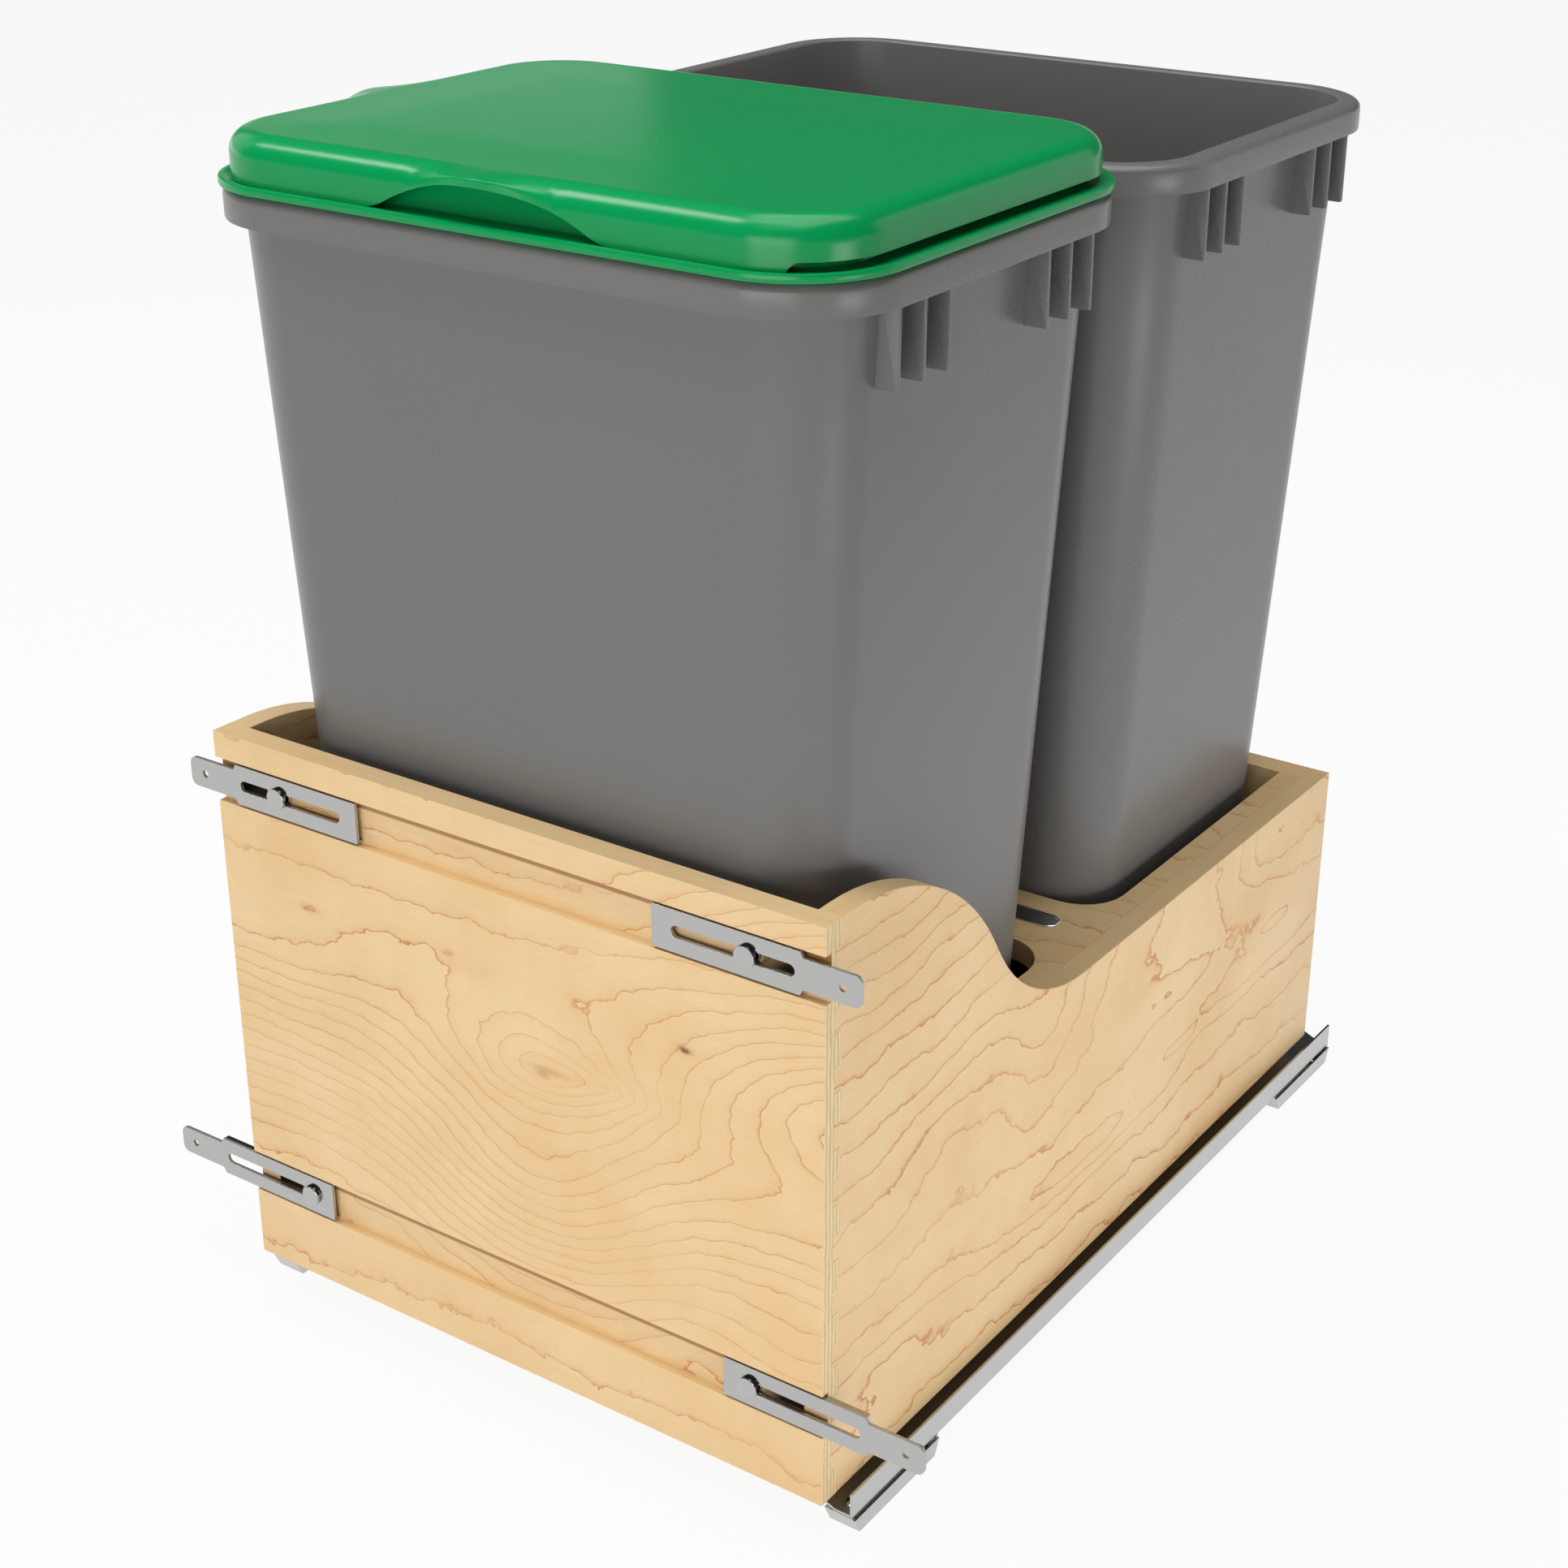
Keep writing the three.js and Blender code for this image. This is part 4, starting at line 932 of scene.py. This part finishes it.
def lid_hinge(material):
    """The hinge along the lid's right side: the cover's knuckles between lugs on the collar."""
    m = lid_measures()
    wall = m["half"][0] - COVER_INSET[0] - LID_WALL / 2
    x = m["half"][0] - COVER_INSET[0] - HINGE_INSET
    z = m["brim_top"] + HINGE_RISE
    root = x - LUG_REACH
    top, bottom = z + KNUCKLE_RADIUS, z - KNUCKLE_RADIUS

    def round_part(start, stop):
        turns = [start + (stop - start) * i / 20 for i in range(21)]
        return [(x + KNUCKLE_RADIUS * math.cos(t), z + KNUCKLE_RADIUS * math.sin(t)) for t in turns]

    knuckle = [*round_part(math.pi / 2, 2 * math.pi), (wall, m["brim_top"] + STEP_RISE), (wall, top)]
    lug = [(root, bottom), *round_part(-math.pi / 2, math.pi / 2), (root, top)]
    for end, sign in (("front", -1), ("rear", 1)):
        middle = m["centre_y"] + sign * (m["half"][1] - HINGE_FROM_END)
        low, high = middle - KNUCKLE_LENGTH / 2, middle + KNUCKLE_LENGTH / 2
        bored_block("lid_knuckle_" + end, knuckle, (low, high), (x, z), "lid_cover", material)
        near = (low - HINGE_PLAY - LUG_THICKNESS, low - HINGE_PLAY)
        far = (high + HINGE_PLAY, high + HINGE_PLAY + LUG_THICKNESS)
        for side, span in (("near", near), ("far", far)):
            bored_block("lid_lug_" + end + "_" + side, lug, span, (x, z), "lid_frame", material)


# ---- fittings

KNOB_RADIUS = 5.6 * MM
KNOB_HEAD = 2.0 * MM
KNOB_SHANK = 2.45 * MM
# The rounded outer rim of the head: how much less than its radius, and height.
KNOB_RIM = (
    (0.5 * MM, 0.0), (0.2 * MM, 0.06 * MM), (0.05 * MM, 0.2 * MM), (0.0, 0.45 * MM),
    (0.0, KNOB_HEAD - 0.15 * MM), (0.15 * MM, KNOB_HEAD),
)
THREAD_PITCH = 1.0 * MM
THREAD_DEPTH = 0.62 * MM
THREAD_PLAY = 0.08 * MM
THREAD_FROM_END = 1.5 * MM
THREAD_SIDES = 28
THREAD_STEPS = 8  # rings to each turn of the thread
# A collar from the screw's end inward: distance along, and how much less than the full radius.
COLLAR = ((0.0, 0.5 * MM), (0.3 * MM, 0.0), (1.2 * MM, 0.0), (1.2 * MM, 0.5 * MM))
HEAD_RISE = 2.2 * MM
HEAD_RIM = 0.5 * MM
HEAD_DOME = 1.65 * MM
SCREW_SHANK = 1.5 * MM
SCREW_TIP = 1.2 * MM
RECESS_REACH = 1.9 * MM
RECESS_HALF_WIDTH = 0.42 * MM
RECESS_DEPTH = 1.1 * MM
RECESS_OVERRUN = 1 * MM
AXIS_HOLE = 0.01 * MM  # keeps a turned end from closing to a single point
PLATE_SPAN = (62 * MM, 147 * MM)
PLATE_DEPTH = (-9.4 * MM, 5.0 * MM)
PLATE_NOSE = 5 * MM
PLATE_CHAMFER = 3.6 * MM
PLATE_RISE = 0.9 * MM
# The plate's rings: inset, and height above the deck.
PLATE_RINGS = (
    (0.0, -0.3 * MM), (0.0, PLATE_RISE - 0.25 * MM), (0.25 * MM, PLATE_RISE),
    (1.0 * MM, PLATE_RISE), (1.35 * MM, PLATE_RISE - 0.35 * MM),
)


def knob(place, material):
    """Round clamp screw on a bracket: a flat head with a rounded rim, on a shank."""
    node = "bracket_knob_" + place
    low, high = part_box(node)
    centre = ((low.x + high.x) / 2, low.y, (low.z + high.z) / 2)
    length = high.y - low.y
    profile = [(2 * AXIS_HOLE, 0.0)]
    profile += [(KNOB_RADIUS - less, along) for less, along in KNOB_RIM]
    profile += [(KNOB_SHANK, KNOB_HEAD), (KNOB_SHANK, length - 0.4 * MM)]
    profile.append((KNOB_SHANK - 0.4 * MM, length))
    shape = turned(profile, centre, "y", 56)
    smooth(new_piece("clamp_screw_" + place, shape, "drawer", material, node), 30)


def adjuster(place, material):
    """Threaded adjuster screw across a pocket, with a plain collar at each end."""
    node = "adjuster_screw_" + place
    low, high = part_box(node)
    middle = ((low.y + high.y) / 2, (low.z + high.z) / 2)
    crest = (high.z - low.z) / 2
    turns = int((high.x - low.x - 2 * THREAD_FROM_END) / THREAD_PITCH)
    start = low.x + THREAD_FROM_END
    steps = turns * THREAD_STEPS

    def ring(x, radius, depth=0.0):
        """A ring of the screw, cut to a depth where the thread's groove passes."""
        points = []
        for i in range(THREAD_SIDES):
            turn = 2 * math.pi * i / THREAD_SIDES
            phase = (x / THREAD_PITCH - turn / (2 * math.pi)) % 1.0
            reach = radius - depth * (1 - abs(2 * phase - 1))
            points.append((x, middle[0] + reach * math.cos(turn), middle[1] + reach * math.sin(turn)))
        return points

    rings = [ring(low.x + along, crest - less) for along, less in COLLAR]
    for i in range(steps + 1):
        along = turns * THREAD_PITCH * i / steps
        rings.append(ring(start + along, crest - THREAD_PLAY, THREAD_DEPTH))
    rings += [ring(high.x - along, crest - less) for along, less in reversed(COLLAR)]
    name = "threaded_adjuster_" + place
    smooth(new_piece(name, skin(rings), "drawer", material, node), 50)


def cross_recess(centre, top):
    """Vertices and faces of the two crossing bars that a cross recess is cut with."""
    vertices = []
    faces = []
    for turn in (math.pi / 4, 3 * math.pi / 4):
        along = Vector((math.cos(turn), math.sin(turn), 0)) * RECESS_REACH
        side = Vector((-math.sin(turn), math.cos(turn), 0)) * RECESS_HALF_WIDTH
        start = len(vertices)
        for z in (top - RECESS_DEPTH, top + RECESS_OVERRUN):
            middle = Vector(centre) + Vector((0, 0, z))
            corners = (-along - side, along - side, along + side, side - along)
            vertices += [tuple(middle + corner) for corner in corners]
        for face in ((3, 2, 1, 0), (4, 5, 6, 7), (0, 1, 5, 4), (1, 2, 6, 5), (2, 3, 7, 6), (3, 0, 4, 7)):
            faces.append(tuple(start + i for i in face))
    return vertices, faces


def rail_screw(node, material):
    """Pan-head screw with a cross recess, driven through the rail into its foot."""
    low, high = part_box(node)
    centre = ((low.x + high.x) / 2, (low.y + high.y) / 2, low.z)
    radius = (high.x - low.x) / 2
    top = high.z - low.z
    seat = top - HEAD_RISE
    profile = [
        (5 * AXIS_HOLE, 0), (SCREW_SHANK, SCREW_TIP), (SCREW_SHANK, seat),
        (radius - 0.2 * MM, seat), (radius, seat + HEAD_RIM / 2),
    ]
    for sine, cosine in quarter(6):
        profile.append((radius * cosine * 0.995 + AXIS_HOLE, seat + HEAD_RIM + HEAD_DOME * sine))
    shape = turned(profile, centre, "z", 36)
    made = new_piece(node + "_head", shape, "cabinet_rails", material, node)
    carve(made, cross_recess(centre, top))
    smooth(made, 35)


def deck_plate(material):
    """Bare metal plate let into the deck's bridge, pointed at its right end."""
    _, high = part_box("deck_panel")
    left, right = PLATE_SPAN
    front, rear = PLATE_DEPTH

    def outline(inset, z):
        shoulder = right - PLATE_NOSE - inset * 0.6
        return [
            (left + inset, front + inset, z), (shoulder, front + inset, z),
            (right - inset, front + PLATE_CHAMFER + inset, z),
            (right - inset, rear - PLATE_CHAMFER - inset, z),
            (shoulder, rear - inset, z), (left + inset, rear - inset, z),
        ]

    shape = skin([outline(inset, high.z + rise) for inset, rise in PLATE_RINGS])
    smooth(new_piece("deck_plate", shape, "drawer", material), 30)


# ---- the materials of this unit

# The tables of this unit's wood are in millimetres.
# Bands of the front's figure, at its grooves: from a height to a height, and their shift.
GROOVES = ((0, 63.9, 350), (63.9, 87.5, 12), (295.7, 319.3, -30), (319.3, 400, -60))
# Painted shade in the routed pockets: heights, and where the painted shade starts, is full and ends, out
# from the middle.
POCKET_SHADING = ((300, 315, 149, 158, 171), (68, 83, 149, 158, 171))
# Painted shadow strips on the grooves' floor, under their upper edge, by height: where each starts, is
# full and ends.
GROOVE_SHADOW_STRIPS = ((313.9, 315.0, 320), (80.9, 82.0, 88))
# Hills of the rolling surface: centre and size along and across, and height in rings.
FRONT_FIGURE = (
    ((0, 86), (900, 92), -9.5),
    ((23, 210), (60, 28), 4.0),
    ((28, 208), (26, 10), 1.3),
    ((66, 211), (26, 7), 1.2),
    ((14, 136), (78, 58), 6.5),
    ((228, 240), (105, 46), -8.8),
    ((-164, 224), (80, 26), 1.6),
    ((-124, 250), (14, 6), 0.5),
    ((168, 104), (44, 26), 1.6),
    ((-124, 44), (60, 30), -0.8),
    ((106, 46), (110, 24), 1.6),
)
# Knots: centre and size along and across, strength, and the screen colour of the pith.
FRONT_KNOTS = (
    ((107.8, 248), (3.3, 1.4), 1.0, (110, 76, 18)),
    ((27, 209), (11, 1.5), 0.34, (204, 132, 62)),
    ((22, 206), (3.4, 1.8), 0.42, (198, 120, 52)),
    ((-126, 251), (6, 2.4), 0.3, (196, 130, 66)),
)
SIDE_FIGURE = (
    ((-219, 354), (170, 80), 3.5),
    ((81, 229), (140, 80), -4.2),
    ((-149, 174), (60, 40), -1.2),
    ((-74, 189), (36, 60), 1.2),
    ((61, 146), (44, 9), 1.2),
    ((191, 133), (26, 6), 1.2),
    ((83, 105), (24, 5), 1.1),
    ((-29, 90), (100, 13), 1.7),
    ((171, 114), (80, 12), 1.4),
    ((-219, 76), (60, 14), -1),
    ((181, 189), (50, 26), 1.8),
)

wood_front = maple(
    "maple_front", "x", "z", "y", spacing=30 * MM, humps=FRONT_FIGURE, waves=1.0, seed=1.0,
    ply_ends=("x",), bands=GROOVES, knots=FRONT_KNOTS, pockets=POCKET_SHADING, groove_shadows=GROOVE_SHADOW_STRIPS,
)
wood_side = maple(
    "maple_side", "y", "z", "x", spacing=24 * MM, humps=SIDE_FIGURE, waves=1.2, sharp=300.0,
    seed=5.0, tone=0.98, ply_ends=("y",),
)
wood_side_left = maple(
    "maple_side_left", "y", "z", "x", spacing=23 * MM, humps=SIDE_FIGURE, waves=1.9, seed=14.0,
    tone=0.98, ply_ends=("y",),
)
wood_back = maple(
    "maple_back", "x", "z", "y", spacing=20 * MM, waves=2.0, seed=23.0, ply_ends=("x",)
)
wood_deck = maple("maple_deck", "x", "y", "z", spacing=24 * MM, waves=1.7, seed=31.0)
wood_bottom = maple(
    "maple_bottom", "x", "y", "z", spacing=26 * MM, waves=1.6, seed=41.0, tone=0.97,
    ply_ends=("x", "y"),
)

BRACKET_SHEET = ("y", -279, -277.2)

steel_rail = plated_steel("rail_steel", (190, 190, 189), 0.24, "y", cloudiness=0.03)
steel_bracket = plated_steel(
    "bracket_steel", (184, 184, 183), 0.1, "x", cloudiness=0.02, sheared=BRACKET_SHEET
)
steel_dark = plated_steel("cage_steel", (62, 62, 62), 0.4, "y")
bright = plated_steel("bright_plate", (206, 206, 206), 0.08, "z", cloudiness=0.03)
thread = plated_steel("thread_plate", (236, 236, 234), 0.14, "x", cloudiness=0.03)
screw_head = plated_steel("clamp_screw_plate", (186, 186, 185), 0.1, "z", cloudiness=0.02)
bin_plastic = moulded_plastic(
    "bin_plastic", (116, 115, 113), depth=0.03, roughness=0.28, grain=900, specular=0.38,
    scuffed=0.03, relief=0.02,
)
lid_plastic = moulded_plastic(
    "lid_plastic", (3, 154, 83), depth=0.04, roughness=0.22, grain=700, specular=0.3,
    scuffed=0.01, relief=0.1,
)
black_plastic = moulded_plastic(
    "black_plastic", (38, 38, 40), depth=0.12, roughness=0.4, grain=900, specular=0.5,
    scuffed=0.05, relief=0.3,
)


# ---- assembly

PANELS = (
    ("front_panel", wood_front),
    ("side_panel_right", wood_side),
    ("side_panel_left", wood_side_left),
    ("back_panel", wood_back),
    ("deck_panel", wood_deck),
    ("bottom_panel", wood_bottom),
)
# The slides' pieces on each side: node, material, slot and how far its edges are eased.
SLIDE_PIECES = (
    ("slide_rail_", steel_rail, "galvanised_steel", 0.3 * MM),
    ("drawer_runner_", steel_rail, "galvanised_steel", 0.3 * MM),
    ("middle_member_", steel_dark, "galvanised_steel", 0.25 * MM),
    ("front_foot_", steel_rail, "galvanised_steel", 0.3 * MM),
    ("rear_foot_", steel_rail, "galvanised_steel", 0.3 * MM),
    ("lower_cage_", black_plastic, "black_plastic", 0.2 * MM),
    ("upper_cage_", black_plastic, "black_plastic", 0.2 * MM),
    ("locking_clip_", black_plastic, "black_plastic", 0.4 * MM),
    ("damper_", black_plastic, "black_plastic", 0.5 * MM),
)
BRACKET_PLACES = ("upper_left", "upper_right", "lower_left", "lower_right")

for node, material in PANELS:
    refined(node, material, 0.5 * MM)
for side in ("left", "right"):
    for node, material, slot, ease in SLIDE_PIECES:
        refined(node + side, material, ease)
    for i in range(1, 5):
        rail_screw("rail_screw_" + side + "_" + str(i), bright)
for place in BRACKET_PLACES:
    refined("door_bracket_" + place, steel_bracket, 0.22 * MM)
    refined("bracket_nut_" + place, bright, 0.3 * MM)
    knob(place, screw_head)
    adjuster(place, thread)
for end in ("front", "rear"):
    refined("lid_hinge_pin_" + end, bright, 0.15 * MM)
bin_shell("front_bin", bin_plastic)
bin_shell("rear_bin", bin_plastic)
lid_frame_ring(lid_plastic)
lid_cover_dome(lid_plastic)
lid_hinge(lid_plastic)
deck_plate(bright)


# ---- stage

WORLD_LEVEL = 0.05
FLOOR_WHITE = 0.93
FLOOR_RINGS = (0.6, 1.5, 4.0, 13.0)
FLOOR_SIDES = 96
BACKDROP_SWEEP = 1.0
BACKDROP_STEPS = 12
BACKDROP_HEIGHT = 6.0
CAMERA_PLACE = (0.7348, -1.10005, 0.8567)
CAMERA_FORWARD = (-0.5193, 0.7452, -0.4184)
CAMERA_LENS = 60.35
CAMERA_FILM = 36.0
CENTRE = (0.0, 0.0, 0.32)
# The soft boxes: name, place, the point each looks at, size, power in watts and spread.
LAMPS = (
    ("above", (0.0, 0.0, 2.6), CENTRE, (2.0, 2.0), 37.0),
    ("above_front", (0.3, -0.9, 2.6), CENTRE, (1.6, 1.6), 8.0),
    ("high_left", (-1.5, -0.85, 2.45), CENTRE, (0.8, 0.8), 19.0),
    ("front_low", (0.45, -2.6, 0.55), CENTRE, (2.2, 1.4), 32.5),
    ("right_low", (1.7, -0.2, 0.16), (0.0, 0.0, 0.12), (1.0, 0.3), 1.1, 50),
    ("back_left", (-1.76, 1.48, 0.85), (0.0, 0.0, 0.6), (0.8, 0.5), 0.5),
    ("left", (-2.1, 0.0, 1.1), CENTRE, (1.4, 1.4), 4.0),
    ("back_right", (1.5, 1.7, 1.2), CENTRE, (1.2, 1.2), 4.0),
)


def seen_white(g):
    """One for the rays that show a background: camera and see-through rays, and mirror rays
    that meet the floor or the backdrop's foot."""
    path = g.nodes.new("ShaderNodeLightPath").outputs
    height = g.xyz(g.coords.outputs["Object"])[2]
    foot = g.ramp(height, BACKDROP_SWEEP, 0.7 * BACKDROP_SWEEP)
    share = g.math("MAXIMUM", path["Is Camera Ray"], foot * path["Is Glossy Ray"])
    return g.math("MAXIMUM", share, path["Is Transmission Ray"])


def floor_material():
    g = Graph("floor_pale")
    g.set(Base_Color=srgb(238, 238, 238), Roughness=0.9, Specular_IOR_Level=0.1)
    glow = g.nodes.new("ShaderNodeEmission")
    mixer = g.nodes.new("ShaderNodeMixShader")
    g.link(seen_white(g) * FLOOR_WHITE, mixer.inputs["Fac"])
    g.link(g.shader.outputs["BSDF"], mixer.inputs[1])
    g.link(glow.outputs["Emission"], mixer.inputs[2])
    g.link(mixer.outputs["Shader"], g.nodes["Material Output"].inputs["Surface"])
    return g.material


def make_world():
    world = bpy.data.worlds.new("studio")
    world.use_nodes = True
    background = world.node_tree.nodes["Background"]
    background.inputs["Color"].default_value = (1.0, 1.0, 1.0, 1.0)
    background.inputs["Strength"].default_value = WORLD_LEVEL
    bpy.context.scene.world = world


def make_floor():
    """A pale floor that sweeps up into a tall backdrop far from the object. It looks white and
    keeps the object's shadow; mirror rays find the backdrop's foot white and the rest dim."""
    profile = [(radius, 0.0) for radius in FLOOR_RINGS]
    edge = FLOOR_RINGS[-1]
    for sine, cosine in quarter(BACKDROP_STEPS, first=1):
        profile.append((edge + BACKDROP_SWEEP * sine, BACKDROP_SWEEP * (1 - cosine)))
    profile.append((edge + BACKDROP_SWEEP, BACKDROP_HEIGHT))
    vertices = [(0.0, 0.0, 0.0)]
    for radius, z in profile:
        for i in range(FLOOR_SIDES):
            turn = 2 * math.pi * i / FLOOR_SIDES
            vertices.append((radius * math.cos(turn), radius * math.sin(turn), z))
    faces = [(0, 1 + i, 1 + (i + 1) % FLOOR_SIDES) for i in range(FLOOR_SIDES)]
    for row in range(len(profile) - 1):
        low = 1 + row * FLOOR_SIDES
        high = low + FLOOR_SIDES
        for i in range(FLOOR_SIDES):
            j = (i + 1) % FLOOR_SIDES
            faces.append((low + i, high + i, high + j, low + j))
    mesh = mesh_from("floor", vertices, faces)
    for face in mesh.polygons:
        face.use_smooth = True
    floor = add_object("floor", mesh)
    floor.data.materials.append(floor_material())


def aimed(name, data, place, forward):
    """A lamp or camera at a place, looking along a direction."""
    holder = add_object(name, data)
    holder.location = place
    holder.rotation_euler = Vector(forward).to_track_quat("-Z", "Y").to_euler()
    return holder


def make_lamp(name, place, aim, size, power, spread=180):
    """A soft box: an area lamp at a place, turned to a point, with its spread in degrees."""
    lamp = bpy.data.lights.new(name, "AREA")
    lamp.spread = math.radians(spread)
    lamp.shape = "RECTANGLE"
    lamp.size, lamp.size_y = size
    lamp.energy = power
    aimed(name, lamp, place, Vector(aim) - Vector(place))


def make_camera():
    """The photograph's viewpoint, from the front and right, a little above the bins."""
    camera = bpy.data.cameras.new("photo_view")
    camera.lens = CAMERA_LENS
    camera.sensor_width = CAMERA_FILM
    bpy.context.scene.camera = aimed("photo_view", camera, CAMERA_PLACE, CAMERA_FORWARD)


make_world()
make_floor()
make_camera()
for lamp in LAMPS:
    make_lamp(*lamp)
bpy.context.scene.view_settings.view_transform = "Standard"
